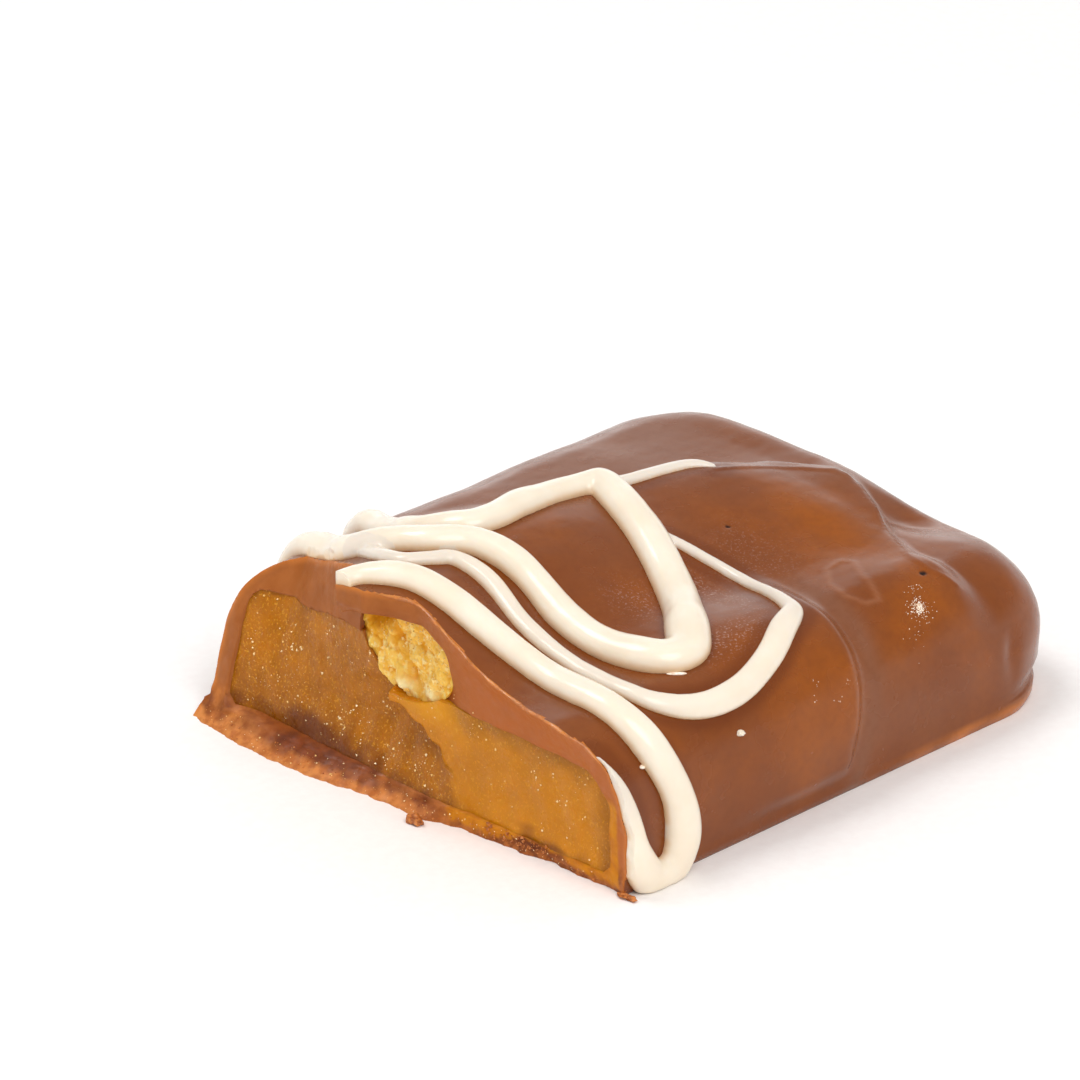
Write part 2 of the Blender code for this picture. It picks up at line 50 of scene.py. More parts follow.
# Size of the coated bar
END_X = 42.5            # outside of the whole end
WALL_Y = 18.7           # half of the width over the side walls
CORNER = 7.5            # plan radius at the whole end
WALL_TOP = 4.2          # height where the walls start to round over
SHOULDER = 5.5          # how far in from the wall the rounding reaches
ROUNDING = 2.1          # fullness of that rounding
FACE_Z = 10.5           # plain height of the upper face

# Thin foot that spread under the walls: how far out, and how high.  The long
# near side has hardly any.
FOOT = [(-0.05, 2.6), (-0.22, 1.2), (0.12, 0.95), (0.2, 0.45), (0.05, 0.0)]
PLAIN_FOOT = [(-0.03, 2.6), (-0.09, 1.2), (-0.12, 0.95), (-0.14, 0.45), (-0.32, 0.0)]
TUCK = 0.55             # how far the foot draws in under the whole end

# Caramel slab and biscuit rod, and how far they swell into the rooms cut for them
CARAMEL_Y = 17.2
CARAMEL_END = 40.4
CARAMEL_LOW = 0.95
CARAMEL_NEAR_Z = 7.5
CARAMEL_PEAK_Z = 9.35
CARAMEL_FAR_Z = 8.3
CARAMEL_ROUND = 2.6
CARAMEL_FAR_ROUND = 1.2
ROD_WIDE = 9.0
ROD_HIGH = 6.4
ROD_END = 35.0
ROD_Z = 9.8
ROD_FALL = 0.065
CARAMEL_OVERLAP = 0.04
ROD_OVERLAP = 0.03
ROD_BED_OVERLAP = 0.1

# Fineness of the meshes
SKIN_STEP = 0.25
SKIN_ACROSS = 300
BREAK_STEP = 0.2
CARAMEL_STEP = 0.12
ROD_STEP = 0.05
ROD_SIDES = 64
ROPE_STEP = 0.25
ROPE_SIDES = 28
ICING_VOXEL = 0.15
GIRTH_REACH = 29.0
GIRTH_STEP = 0.2

# Camera of the photograph, aimed at a point of the floor
CAMERA_AZIMUTH = -45.46
CAMERA_ELEVATION = 24.30
CAMERA_AIM = (33.99, 22.03)
CAMERA_BACK = 500.0
CAMERA_LENS = 248.75


def ease(a, b, t):
    """Smooth step from 0 at a to 1 at b."""
    q = np.clip((np.asarray(t, float) - a) / (b - a), 0.0, 1.0)
    return q * q * (3.0 - 2.0 * q)


def through(t, knots):
    """Smooth curve through a few (position, value) pairs."""
    t = np.asarray(t, float)
    value = np.full(t.shape, float(knots[0][1]))
    for (a, va), (b, vb) in zip(knots[:-1], knots[1:]):
        value = value + (vb - va) * ease(a, b, t)
    return value


def straight(t, knots):
    """Straight lines through a few (position, value) pairs."""
    return np.interp(t, [k[0] for k in knots], [k[1] for k in knots])


def mound(u, v, centre, reach, height):
    """Soft round swelling."""
    a = (u - centre[0]) / reach[0]
    b = (v - centre[1]) / reach[1]
    return height * np.exp(-a * a - b * b)


def mounds(u, v, table):
    """Several swellings, as (u, v, reach in u, reach in v, height)."""
    return sum(mound(u, v, row[:2], row[2:4], row[4]) for row in table)


def band(t, centre, reach):
    """Soft line that is 1 on the centre and fades on both sides."""
    return np.exp(-((t - centre) / reach) ** 2)


def ripple(seed, size, count, u, v):
    """Unevenness between about -1 and 1, with features near the given size."""
    rng = np.random.default_rng(seed)
    total = np.zeros(np.broadcast(u, v).shape)
    for _ in range(count):
        turn = rng.uniform(0.0, 2.0 * math.pi)
        wave = 2.0 * math.pi / (size * rng.uniform(0.7, 1.5))
        phase = rng.uniform(0.0, 2.0 * math.pi)
        total = total + np.sin(wave * (u * math.cos(turn) + v * math.sin(turn)) + phase)
    return total / math.sqrt(count)


def cells(seed, size, u, v):
    """Distance to the nearest of many scattered points, and a number for that point."""
    table = np.random.default_rng(seed).random((64, 64, 3))
    i = np.floor(u / size).astype(int)
    j = np.floor(v / size).astype(int)
    best = np.full(np.broadcast(u, v).shape, 9.0)
    number = np.zeros(best.shape)
    for di in (-1, 0, 1):
        for dj in (-1, 0, 1):
            spot = table[(i + di) % 64, (j + dj) % 64]
            a = u / size - (i + di + 0.1 + 0.8 * spot[..., 0])
            b = v / size - (j + dj + 0.1 + 0.8 * spot[..., 1])
            far = np.hypot(a, b)
            closer = far < best
            best = np.where(closer, far, best)
            number = np.where(closer, spot[..., 2], number)
    return best, number


def path_distance(u, v, points):
    """Distance to a line of straight pieces."""
    best = np.full(np.broadcast(u, v).shape, 1e9)
    for (a, b), (c, d) in zip(points[:-1], points[1:]):
        along = ((u - a) * (c - a) + (v - b) * (d - b)) / ((c - a) ** 2 + (d - b) ** 2)
        along = np.clip(along, 0.0, 1.0)
        best = np.minimum(best, np.hypot(u - a - along * (c - a), v - b - along * (d - b)))
    return best


# Outer form

def inside(x, y):
    """How far a plan point lies in from the outline of the walls."""
    ax = np.maximum(x - (END_X - CORNER), 0.0)
    ay = np.maximum(np.abs(y) - (WALL_Y - CORNER), 0.0)
    corner = CORNER - np.hypot(ax, ay)
    side = np.minimum(END_X - x, WALL_Y - np.abs(y))
    return np.where((ax > 0.0) & (ay > 0.0), corner, side)


def half_width(x):
    q = np.clip((x - (END_X - CORNER)) / CORNER, 0.0, 1.0)
    return WALL_Y - CORNER + CORNER * np.sqrt(1.0 - q * q)


def crest(x):
    """Line of the ridge that the rod raises along the upper face."""
    return through(x, [(0, 2.0), (7, 3.3), (21, 3.4), (28, 2.0), (33, 0.3), (38, -4.0)])


def ridge_stop(y):
    """Where the ridge ends and the face drops to the low whole end."""
    return straight(y, [(-19, 32.2), (-15.5, 32.0), (-12, 32.0), (-9.5, 33.2),
                        (-7.5, 34.8), (-5, 36.0), (-2, 36.6), (4, 37.2), (19, 37.5)])


def face(x, y):
    """Upper face before its edges are rounded over."""
    low = 10.8 + np.where(y > 0.0, 0.045, 0.09) * y + mound(x, y, (39.0, 4.0), (3.5, 7.0), 0.6)
    rise = through(x, [(0, 4.0), (10, 3.6), (28, 2.55), (36, 1.5)])
    middle = crest(x)
    far = through(x, [(0, 13.0), (12, 11.0), (26, 6.0), (36, 5.0)])
    t = np.where(y > middle, (y - middle) / far, (middle - y) / 13.5)
    plain = FACE_Z + 0.25 * np.cos(math.pi * y / 30.0) + 0.2 * ease(4.0, 14.0, y)
    high = plain + rise * (1.0 - ease(0.0, 1.0, t))
    drop = ridge_stop(y)
    blend = ease(0.0, 1.0, (x - drop + 0.4) / (1.8 + 0.14 * np.abs(y + 8.0)))
    dent = mound(x, y, (38.2, -7.0), (2.2, 3.0), 1.1)
    return high + (low - high) * blend - dent


def skin_height(x, y):
    depth = np.clip(inside(x, y) / SHOULDER, 0.0, 1.0)
    share = (1.0 - (1.0 - depth) ** ROUNDING) ** (1.0 / ROUNDING)
    return WALL_TOP + (face(x, y) - WALL_TOP) * share


def outward(x, y):
    """Plan direction that points straight out of the wall."""
    ax = max(x - (END_X - CORNER), 0.0)
    ay = max(abs(y) - (WALL_Y - CORNER), 1e-9)
    size = math.hypot(ax, ay)
    return ax / size, math.copysign(ay / size, y)


def foot(x, near):
    """Rows of the foot at x, drawn in toward the whole end, and smoothed."""
    share = TUCK * float(ease(33.0, 40.0, x))
    plain = 1.0 - float(ease(33.0, 38.0, x)) if near else 0.0
    rows = []
    for (out, high), (slim, _) in zip(FOOT, PLAIN_FOOT):
        out = out + (slim - out) * plain
        rows.append((out - share * (1.0 - high / FOOT[0][1]), high))
    fine = []
    for (a, b), (c, d) in zip(rows[:-1], rows[1:]):
        fine += [(a + (c - a) * q, b + (d - b) * q) for q in (0.0, 0.33, 0.67)]
    return fine + [rows[-1]]


def section(x, count):
    """Points over one section, from the far foot across the top to the near foot."""
    half = float(half_width(x))
    y = half * np.sin(np.linspace(math.pi / 2.0, -math.pi / 2.0, count))
    z = skin_height(np.full(count, float(x)), y)
    nx, ny = outward(x, half)
    low = [(x + nx * out, half + ny * out, high) for out, high in foot(x, False)]
    rows = low[::-1] + [(x, a, b) for a, b in zip(y, z)]
    rows += [(x + nx * out, -half - ny * out, high) for out, high in foot(x, True)]
    return np.array(rows)


def girth(points):
    """Distance along sections, zero on y = 0, growing toward -Y."""
    step = np.linalg.norm(np.diff(points[..., 1:], axis=-2), axis=-1)
    total = np.concatenate([np.zeros(step.shape[:-1] + (1,)), np.cumsum(step, axis=-1)], axis=-1)
    half = (points.shape[-2] - 1) / 2.0
    a = total[..., int(math.floor(half))]
    b = total[..., int(math.ceil(half))]
    return total - ((a + b) / 2.0)[..., None]


# Line of the fine seam over the end of the ridge, as (x, girth)
SEAM = [(28.0, -1.3), (30.4, -0.5), (32.5, 0.2), (34.4, 1.2), (35.9, 2.8), (36.3, 4.6),
        (35.2, 6.8), (34.0, 8.7), (32.7, 11.0), (31.4, 13.4), (31.2, 15.2), (32.3, 16.8)]

# Outline of a faint ring in the set coating, as (x, girth)
RING = [(26.5, 11.0), (28.0, 10.7), (28.4, 11.5), (27.3, 13.2), (26.2, 15.7), (25.2, 15.5),
        (24.6, 14.2), (25.1, 12.5), (26.5, 11.0)]

# Two pinholes in the coating, as (x, girth)
PITS = [(24.7, 3.9), (30.6, 15.3)]


def fold_line(g):
    """The x of the shallow fold that runs down the near side."""
    return straight(g, [(8, 23.4), (12.5, 22.7), (15.4, 22.4), (18.1, 22.1), (21.7, 21.3),
                        (23.5, 21.0), (25.4, 20.4), (27.4, 19.4)])


def swelling(x, g):
    """Relief of the coating, measured out from the plain form."""
    fold = fold_line(g)
    left = 0.55 * (1.0 - ease(-1.3, 0.2, x - fold)) * ease(7.0, 13.0, g) * ease(5.0, 17.0, x)
    groove = -0.18 * band(x - fold, 0.5, 0.8) * ease(9.0, 12.0, g)
    right = mound(x, g, (30.0, 15.5), (4.2, 4.6), 0.45)
    nick = mound(x, g, (35.5, 22.0), (0.7, 1.4), -0.3)
    uneven = 0.07 * ripple(5, 11.0, 6, x, g) * ease(1.0, 6.0, x)
    return left + groove + right + nick + uneven


def fine_relief(x, g):
    """Small marks on the skin: seam, set ripples, a ring, pinholes."""
    line = 0.09 * band(path_distance(x, g, SEAM), 0.0, 0.16) * ease(27.5, 29.5, x)
    ring = 0.05 * band(path_distance(x, g, RING), 0.0, 0.18)
    waves = 0.012 * ripple(41, 3.4, 8, x, g) + 0.004 * ripple(42, 1.1, 8, x, g)
    holes = mounds(x, g, [(*PITS[0], 0.14, 0.14, -0.22), (*PITS[1], 0.17, 0.15, -0.26)])
    return line + ring + waves + holes


def skin(rows, count):
    """Grid of points on the finished outer skin, one row for each section."""
    grid = np.array([section(x, count) for x in rows])
    along = np.gradient(grid, axis=0)
    over = np.gradient(grid, axis=1)
    normal = np.cross(over, along)
    size = np.linalg.norm(normal, axis=-1, keepdims=True)
    normal = normal / np.maximum(size, 1e-9)
    g = girth(grid)
    out = swelling(grid[..., 0], g) * ease(0.0, 1.2, grid[..., 2] - 1.2)
    out = out + fine_relief(grid[..., 0], g) * ease(0.0, 1.0, grid[..., 2] - 0.2)
    out = out * ease(0.0, 2.5, END_X - grid[..., 0])
    return grid + normal * out[..., None], g


# Broken faces.  Along y, RIM, BASE and MIDDLE give the x of three lines on the coating, and
# SWING and TOP the heights between which the face leans from MIDDLE to RIM.

RIM = [(-18.7, -0.35), (-17.6, -0.43), (-16.2, -0.7), (-14.9, -1.25), (-11.7, -1.15), (-9, -0.9),
       (-6.6, -0.75), (-4.3, -0.5), (-1.2, -0.15), (-0.2, -0.8), (0.9, -1.5), (1.6, -2.0),
       (3.8, -2.1), (4.4, 0.9), (8, 2.2), (11, 3.7), (14, 4.7), (16.2, 3.4), (17.8, 2.4),
       (18.7, 2.2)]
BASE = [(-18.7, 0.0), (-17, 0.4), (-15, 0.15), (-12.5, 0.35), (-10.6, 0.0), (-8, -0.1), (-5.5, -0.3),
        (-3.8, -0.5), (-3, -0.9), (-1.5, -1.2), (0.5, -1.0), (4, -1.3), (7, -1.9), (10, -1.9),
        (14, -1.7), (17, -1.2), (18.7, -0.9)]
MIDDLE = [(-18.7, 0.05), (-9, 0.4), (-5, 0.4), (-2, 1.2), (3, 1.9), (8, 1.8), (12, 1.7),
          (17.2, 1.45), (18.7, 1.6)]
SWING = [(-18.7, 3.5), (-17, 6.0), (-15, 7.6), (-2, 8.0), (3, 6.0), (5, 4.0)]
TOP = [(-18.7, 6), (-17.4, 8.4), (-15, 10.0), (-9, 11.0), (-3, 12.8), (0, 13.0), (5, 12.5),
       (8, 12.6), (11, 11.6), (14, 10.3), (17.8, 7.6), (18.7, 6)]
FAR_RIM = RIM[13:]      # the rim beyond the notch over the rod


def lean(y, z):
    """How far along the way from the lower face to the rim."""
    swing = straight(y, SWING)
    return np.clip((z - swing) / (straight(y, TOP) - swing), 0.0, 1.1)


def break_coating(y, z):
    """Broken face of the coating: base, middle wall and rim, with fine tearing."""
    middle = straight(y, MIDDLE)
    base = straight(y, BASE)
    share = straight(z, [(0, 0), (0.75, 0.42), (2, 0.72), (4, 1)])
    x = base + (middle - base) * share + (straight(y, RIM) - middle) * lean(y, z)
    hollow = 0.3 * mound(y, z, (-8.0, 9.5), (5.0, 1.4), 1.0)
    low = 1.0 - ease(0.9, 2.4, z)
    rough = 0.05 * ripple(11, 2.2, 7, y, z) + 0.05 * ripple(12, 1.3, 7, y, z) * low
    torn = 0.03 * ripple(13, 0.5, 9, y, z) * low + 0.01 * ripple(14, 0.7, 9, y, z)
    return x + hollow + rough + torn


def left_share(y, z):
    """1 where the caramel pulled back at the far side, 0 where it stands flush."""
    step = straight(z, [(1.0, -4.2), (2.8, -3.0), (3.8, -2.1), (5.3, -0.2), (6.2, 2.4), (9.0, 3.4)])
    return ease(-0.6, 0.6, y - step + 0.25 * ripple(23, 1.6, 6, y, z))


def drizzle_end(y, z):
    """The drizzle stops a hair behind the broken face of the coating."""
    return break_coating(y, z) + 0.05


def shade_and_wet_share(y, z):
    """Dark glossy patches where the caramel meets the base: painted shade in that recess, partly dark
    smears of caramel.
    """
    upper = straight(y, [(-14.0, 1.3), (-12.5, 1.7), (-9.5, 1.5), (-8.5, 0.9), (-4.5, 0.7), (-3.2, 1.0),
                         (0.0, 1.3), (2.5, 1.7), (5.0, 1.9), (8.0, 2.5), (10.5, 2.7), (12.5, 2.1),
                         (15.0, 1.7), (17.5, 1.6)])
    strength = straight(y, [(-14.5, 0.3), (-12.5, 0.9), (-9.5, 0.9), (-8.0, 0.35), (-4.5, 0.4),
                            (-3.2, 0.9), (-1.0, 0.9), (0.5, 0.6), (3.0, 0.9), (11.0, 1.0),
                            (13.0, 0.55), (15.5, 0.5), (17.5, 0.8)])
    top = 1.0 - ease(-0.9, 0.5, z - upper + 0.4 * ripple(55, 2.2, 8, y, 2.0 * z))
    foot_part = ease(0.28, 0.6, z + 0.12 * ripple(56, 1.2, 8, y, 2.0 * z))
    return strength * top * foot_part


def run_down(y, z):
    """Where caramel is smeared thinly over the lip and the near wall of the coating."""
    line = straight(y, [(-18.0, 0.4), (-15.5, 0.35), (-13.5, 0.6), (-11.5, 0.95), (-9.6, 1.05),
                        (-8.6, 0.5), (-7.0, 0.3), (-4.0, 0.25), (-2.9, 1.3)])
    uneven = 0.1 * ripple(61, 1.2, 8, y, z)
    lip = ease(-0.1, 0.1, z - line + uneven) * (1.0 - ease(-3.6, -2.8, y)) * (z < 1.4)
    wall = (1.0 - ease(5.6, 6.6, z)) * (z >= 1.4) * (y < -16.8)
    return np.maximum(lip, wall) * ease(-18.1, -17.85, y + uneven)


def break_caramel(y, z):
    """Broken face of the caramel: flush on one side, pulled back on the other."""
    left = left_share(y, z)
    middle = straight(y, MIDDLE)
    toe = straight(y, [(-5, -0.1), (1, 0.1), (5.5, 0.4), (10.4, 0.7), (14.6, 1.1), (17.5, 0.6)])
    deep = toe + (middle - toe) * np.clip((z - 0.95) / 3.05, 0.0, 1.0)
    deep = deep + (straight(y, FAR_RIM) - middle) * lean(y, z) + 0.12
    flush = 0.55 - 0.25 * (1.0 - ease(1.0, 3.0, z))
    rough = 0.05 * ripple(21, 2.6, 7, y, z) + 0.02 * ripple(26, 1.2, 8, y, z) * left
    near, number = cells(22, 0.3, y, z)
    grain = 0.05 * (0.4 - near) * (0.3 + number) + 0.012 * ripple(24, 0.4, 9, y, z)
    smooth = 0.02 * ripple(25, 2.6, 8, y, z)
    return flush + (deep - flush) * left + rough - grain * left + smooth * (1.0 - left)


def valley(y, z, reach):
    """Slanting hollow down the middle of the broken rod."""
    return band(y - 1.5 - 0.75 * (z - 9.1), 0.0, reach)


def rod_plain(y, z):
    hollow = 0.45 * valley(y, z, 0.55) * ease(6.8, 8.0, z)
    return 1.3 + 0.12 * (y - 1.0) + 0.12 * ripple(31, 1.9, 9, y, z) + hollow


def break_rod(y, z):
    """Broken face of the rod, with lumps, crumbs, two flakes and a hole."""
    near, number = cells(33, 0.85, y, z)
    lumps = 0.3 * np.sqrt(np.maximum(1.0 - (near / 0.72) ** 2, 0.0)) * (0.3 + 0.7 * number)
    near, number = cells(34, 0.3, y, z)
    crumbs = 0.07 * np.sqrt(np.maximum(1.0 - (near / 0.66) ** 2, 0.0)) * (0.1 + number)
    flakes = mounds(y, z, [(1.6, 7.2, 0.65, 0.42, 0.3), (-0.9, 7.5, 0.6, 0.45, 0.35)])
    hole = mound(y, z, (4.6, 11.2), (1.0, 1.1), 1.6)
    return rod_plain(y, z) + 0.15 - lumps - crumbs - flakes + hole


# Meshes

def make_object(name, points, faces):
    mesh = bpy.data.meshes.new(name)
    mesh.from_pydata(np.asarray(points, float).tolist(), [], faces)
    mesh.validate()
    mesh.update()
    part = bpy.data.objects.new(name, mesh)
    bpy.context.scene.collection.objects.link(part)
    return part


def grid_faces(first, rows, columns):
    a = (first + np.arange(rows - 1)[:, None] * columns + np.arange(columns - 1)).ravel()
    return np.stack([a, a + columns, a + columns + 1, a + 1], axis=1).tolist()


def tube(rings, name):
    """Closed body from rings of equal count, with flat ends."""
    count = len(rings[0])
    points = np.array(rings, float).reshape(-1, 3)
    faces = []
    for i in range(len(rings) - 1):
        for j in range(count):
            k = (j + 1) % count
            faces.append((i * count + j, i * count + k, (i + 1) * count + k, (i + 1) * count + j))
    faces.append(tuple(range(count))[::-1])
    faces.append(tuple(range((len(rings) - 1) * count, len(rings) * count)))
    return make_object(name, points, faces)


def skin_rows():
    plain = np.arange(-4.0, END_X - CORNER, SKIN_STEP)
    turn = np.linspace(0.0, math.pi / 2.0, 44)
    return np.concatenate([plain, END_X - CORNER + CORNER * np.sin(turn)])


def coated_block(grid):
    """Whole outside of the bar as one solid, running past the broken end."""
    count, columns = grid.shape[:2]
    points = grid.reshape(-1, 3).tolist()
    faces = grid_faces(0, count, columns)
    rows = foot(END_X, False)
    edge = len(rows)
    start = (count - 1) * columns
    above = [start + edge + k for k in range(SKIN_ACROSS)]
    for level, (out, high) in enumerate(rows):
        below = [start + edge - 1 - level]
        for k in range(1, SKIN_ACROSS - 1):
            below.append(len(points))
            points.append((END_X + out, grid[-1, edge + k, 1], high))
        below.append(start + edge + SKIN_ACROSS + level)
        for k in range(SKIN_ACROSS - 1):
            faces.append((above[k], below[k], below[k + 1], above[k + 1]))
        above = below
    faces.append(tuple(range(columns)))
    far_side = [i * columns for i in range(count)]
    near_side = [i * columns + columns - 1 for i in range(count)]
    faces.append(tuple(far_side[::-1] + near_side + above[1:-1][::-1]))
    return make_object("coating_block", points, faces)


def loft_block(name, grow):
    """The slab: flat-bottomed, with rounded top edges and a rounded end."""
    half = CARAMEL_Y + grow
    low = CARAMEL_LOW - grow
    stop = CARAMEL_END + grow
    radius = CARAMEL_ROUND + grow
    far_radius = CARAMEL_FAR_ROUND + grow
    rings = []
    for x in (-6.0, 2.0, 8.0, 15.0, 22.0, 28.0, 33.0, stop - 4.5, stop - 2.2, stop - 0.8, stop):
        bend = max((x - stop + 5.0) / 5.0, 0.0)
        pull = 5.5 * (1.0 - math.sqrt(max(1.0 - bend ** 2, 0.0)))
        sink = 0.35 * pull
        w = half - pull
        ring = []
        for k in range(8):
            ring.append((x, -w + 0.6 + (2.0 * w - 1.2) * k / 7.0, low))
        ring.append((x, w, low + 0.6))
        top_far = CARAMEL_FAR_Z + grow - sink
        for k in range(13):
            a = math.radians(7.5 * k)
            ring.append((x, w - far_radius + far_radius * math.cos(a),
                         top_far - far_radius + far_radius * math.sin(a)))
        for k in range(1, 30):
            y = (w - far_radius) - (2.0 * w - radius - far_radius) * k / 30.0
            z = CARAMEL_NEAR_Z + (CARAMEL_PEAK_Z - CARAMEL_NEAR_Z) * float(ease(-2.0, 6.0, y))
            z = z - (CARAMEL_PEAK_Z - CARAMEL_FAR_Z) * float(ease(7.0, 13.0, y))
            ring.append((x, y, z + grow - sink))
        top_near = CARAMEL_NEAR_Z + grow - sink
        for k in range(13):
            a = math.radians(90.0 + 7.5 * k)
            ring.append((x, -w + radius + radius * math.cos(a),
                         top_near - radius + radius * math.sin(a)))
        ring.append((x, -w, low + 0.6))
        rings.append(ring[::-1])
    return tube(rings, name)


def rod_block(name, grow):
    """The rod under the ridge: an oval that follows the crest of the skin."""
    rings = []
    for x in (-6.0, 1.0, 5.0, 10.0, 16.0, 22.0, 27.0, 30.0, 32.0, 33.6, 34.5, 35.0):
        bend = max((x - ROD_END + 3.0) / 3.3, 0.0)
        shrink = math.sqrt(1.0 - bend ** 2)
        wide = ROD_WIDE / 2.0 * shrink
        high = ROD_HIGH / 2.0 * shrink
        centre_y = float(crest(x)) - 1.0
        centre_z = ROD_Z - ROD_FALL * x
        ring = []
        for k in range(ROD_SIDES):
            a = 2.0 * math.pi * k / ROD_SIDES
            bumpy = 1.0 + 0.03 * math.sin(3.0 * a + 0.4 * x) + 0.02 * math.sin(5.0 * a + 1.3)
            ring.append((x, centre_y + (wide * bumpy + grow) * math.cos(a),
                         centre_z + (high * bumpy + grow) * math.sin(a)))
        rings.append(ring[::-1])
    return tube(rings, name)


def break_cutter(where, across, up, spacing):
    """Solid that fills everything in front of a broken face."""
    y = np.arange(across[0], across[1] + spacing, spacing)
    z = np.arange(up[0], up[1] + spacing, spacing)
    yy, zz = np.meshgrid(y, z, indexing="ij")
    x = where(yy, zz)
    rows, columns = x.shape
    back = np.stack([x, yy, zz], axis=-1).reshape(-1, 3)
    faces = grid_faces(0, rows, columns)
    rim = [i * columns for i in range(rows)]
    rim += [(rows - 1) * columns + j for j in range(1, columns)]
    rim += [i * columns + columns - 1 for i in range(rows - 2, -1, -1)]
    rim += list(range(columns - 2, 0, -1))
    ends = back[rim].copy()
    ends[:, 0] = -12.0
    first = len(back)
    count = len(rim)
    for k in range(count):
        m = (k + 1) % count
        faces.append((rim[m], rim[k], first + k, first + m))
    faces.append(tuple(range(first, first + count)))
    return make_object("break_cutter", np.concatenate([back, ends]), faces)


# Runs of the drizzle, as (x, girth, width, height)
DRIZZLE = {
    "front": [
        (-3.6, -3.5, 1.8, 0.9), (-1.5, -3.3, 1.9, 0.95), (-0.1, -2.1, 2.1, 1.05),
        (1.0, -0.5, 2.2, 1.1), (1.6, 1.8, 2.2, 1.15), (2.0, 5.0, 2.2, 1.15),
        (2.6, 10.0, 2.2, 1.15), (2.7, 15.0, 2.3, 1.1),
        (3.4, 18.8, 2.4, 1.1), (4.4, 22.1, 2.5, 1.1), (4.7, 24.8, 2.6, 1.15),
        (3.9, 26.7, 2.6, 1.15), (2.1, 26.7, 2.5, 1.1), (0.9, 24.9, 2.2, 1.0),
        (0.3, 22.4, 1.7, 0.75), (-0.2, 19.9, 1.1, 0.5), (-0.7, 18.1, 0.6, 0.3)],
    "thin": [
        (4.2, -8.6, 1.2, 0.6), (3.0, -5.6, 1.2, 0.6), (2.6, -3.2, 1.2, 0.6),
        (4.1, -2.2, 1.3, 0.6), (5.5, -1.4, 1.4, 0.65), (5.9, 1.4, 1.45, 0.7),
        (5.1, 5.7, 1.4, 0.65), (5.1, 10.4, 1.35, 0.65), (5.2, 14.8, 1.4, 0.65),
        (6.7, 16.7, 1.6, 0.7), (9.2, 17.6, 1.7, 0.75), (12.1, 17.5, 1.7, 0.75),
        (15.2, 16.5, 1.7, 0.75), (17.8, 15.2, 1.6, 0.7), (19.7, 14.3, 1.3, 0.6),
        (20.2, 13.5, 1.1, 0.55), (20.8, 11.4, 0.9, 0.5), (21.3, 8.8, 0.9, 0.45),
        (21.2, 6.8, 0.9, 0.45), (20.8, 5.0, 0.9, 0.45),
        (20.5, 3.9, 0.85, 0.42), (20.1, 2.8, 0.8, 0.4)],
    "thick": [
        (7.6, -23.5, 2.3, 1.2), (7.2, -18.5, 2.3, 1.2), (5.6, -13.0, 2.3, 1.2),
        (4.4, -9.4, 2.3, 1.25), (4.9, -6.7, 2.3, 1.25), (5.7, -4.4, 2.3, 1.25),
        (7.9, -2.0, 2.3, 1.3), (8.6, 1.4, 2.3, 1.3), (8.0, 6.4, 2.4, 1.3),
        (8.3, 10.2, 2.6, 1.35), (9.3, 13.0, 2.8, 1.4), (11.1, 13.5, 2.9, 1.4),
        (12.9, 12.0, 2.9, 1.4), (16.2, 7.9, 2.8, 1.35), (18.2, 3.9, 2.7, 1.3),
        (20.0, -0.8, 2.6, 1.25), (21.2, -3.9, 2.4, 1.2)],
    "back": [
        (21.2, -4.2, 2.5, 1.15), (18.9, -4.8, 2.5, 1.15), (14.8, -4.5, 2.4, 1.15),
        (11.3, -4.0, 2.3, 1.15), (9.3, -4.8, 2.3, 1.15), (8.6, -8.0, 2.2, 1.15),
        (10.6, -13.6, 2.2, 1.15), (12.8, -19.0, 2.2, 1.1), (13.6, -23.5, 2.1, 1.0)],
    "tail": [
        (21.4, -4.0, 1.2, 0.6), (22.8, -3.5, 1.1, 0.5), (24.6, -3.3, 1.3, 0.5),
        (26.4, -3.2, 1.5, 0.5), (27.6, -2.9, 1.4, 0.45), (28.5, -2.1, 0.9, 0.3),
        (28.9, -1.4, 0.4, 0.2)],
}


class SkinMap:
    """Looks up points and normals of the skin by x and girth."""

    def __init__(self, rows, grid, walk):
        self.x = rows
        self.g = np.arange(-GIRTH_REACH, GIRTH_REACH, GIRTH_STEP)
        self.place = np.stack([
            np.stack([np.interp(self.g, walk[i], grid[i, :, k]) for k in range(3)], axis=-1)
            for i in range(len(rows))])
        along = np.gradient(self.place, rows, axis=0)
        over = np.gradient(self.place, self.g, axis=1)
        normal = np.cross(over, along)
        size = np.linalg.norm(normal, axis=-1, keepdims=True)
        self.normal = -normal / np.maximum(size, 1e-9)
        self.normal *= np.sign(np.mean(self.normal[:100, 140:150, 2]))

    def look(self, values, x, g):
        x, g = np.broadcast_arrays(x, g)
        i = np.clip(np.searchsorted(self.x, x) - 1, 0, len(self.x) - 2)
        s = np.clip((x - self.x[i]) / (self.x[i + 1] - self.x[i]), 0.0, 1.0)[..., None]
        q = np.clip((g - self.g[0]) / GIRTH_STEP, 0.0, len(self.g) - 1.001)
        j = np.floor(q).astype(int)
        t = (q - j)[..., None]
        low = values[i, j] * (1.0 - t) + values[i, j + 1] * t
        high = values[i + 1, j] * (1.0 - t) + values[i + 1, j + 1] * t
        return low * (1.0 - s) + high * s

    def at(self, x, g):
        place = self.look(self.place, x, g)
        normal = self.look(self.normal, x, g)
        return place, normal / np.linalg.norm(normal, axis=-1, keepdims=True)


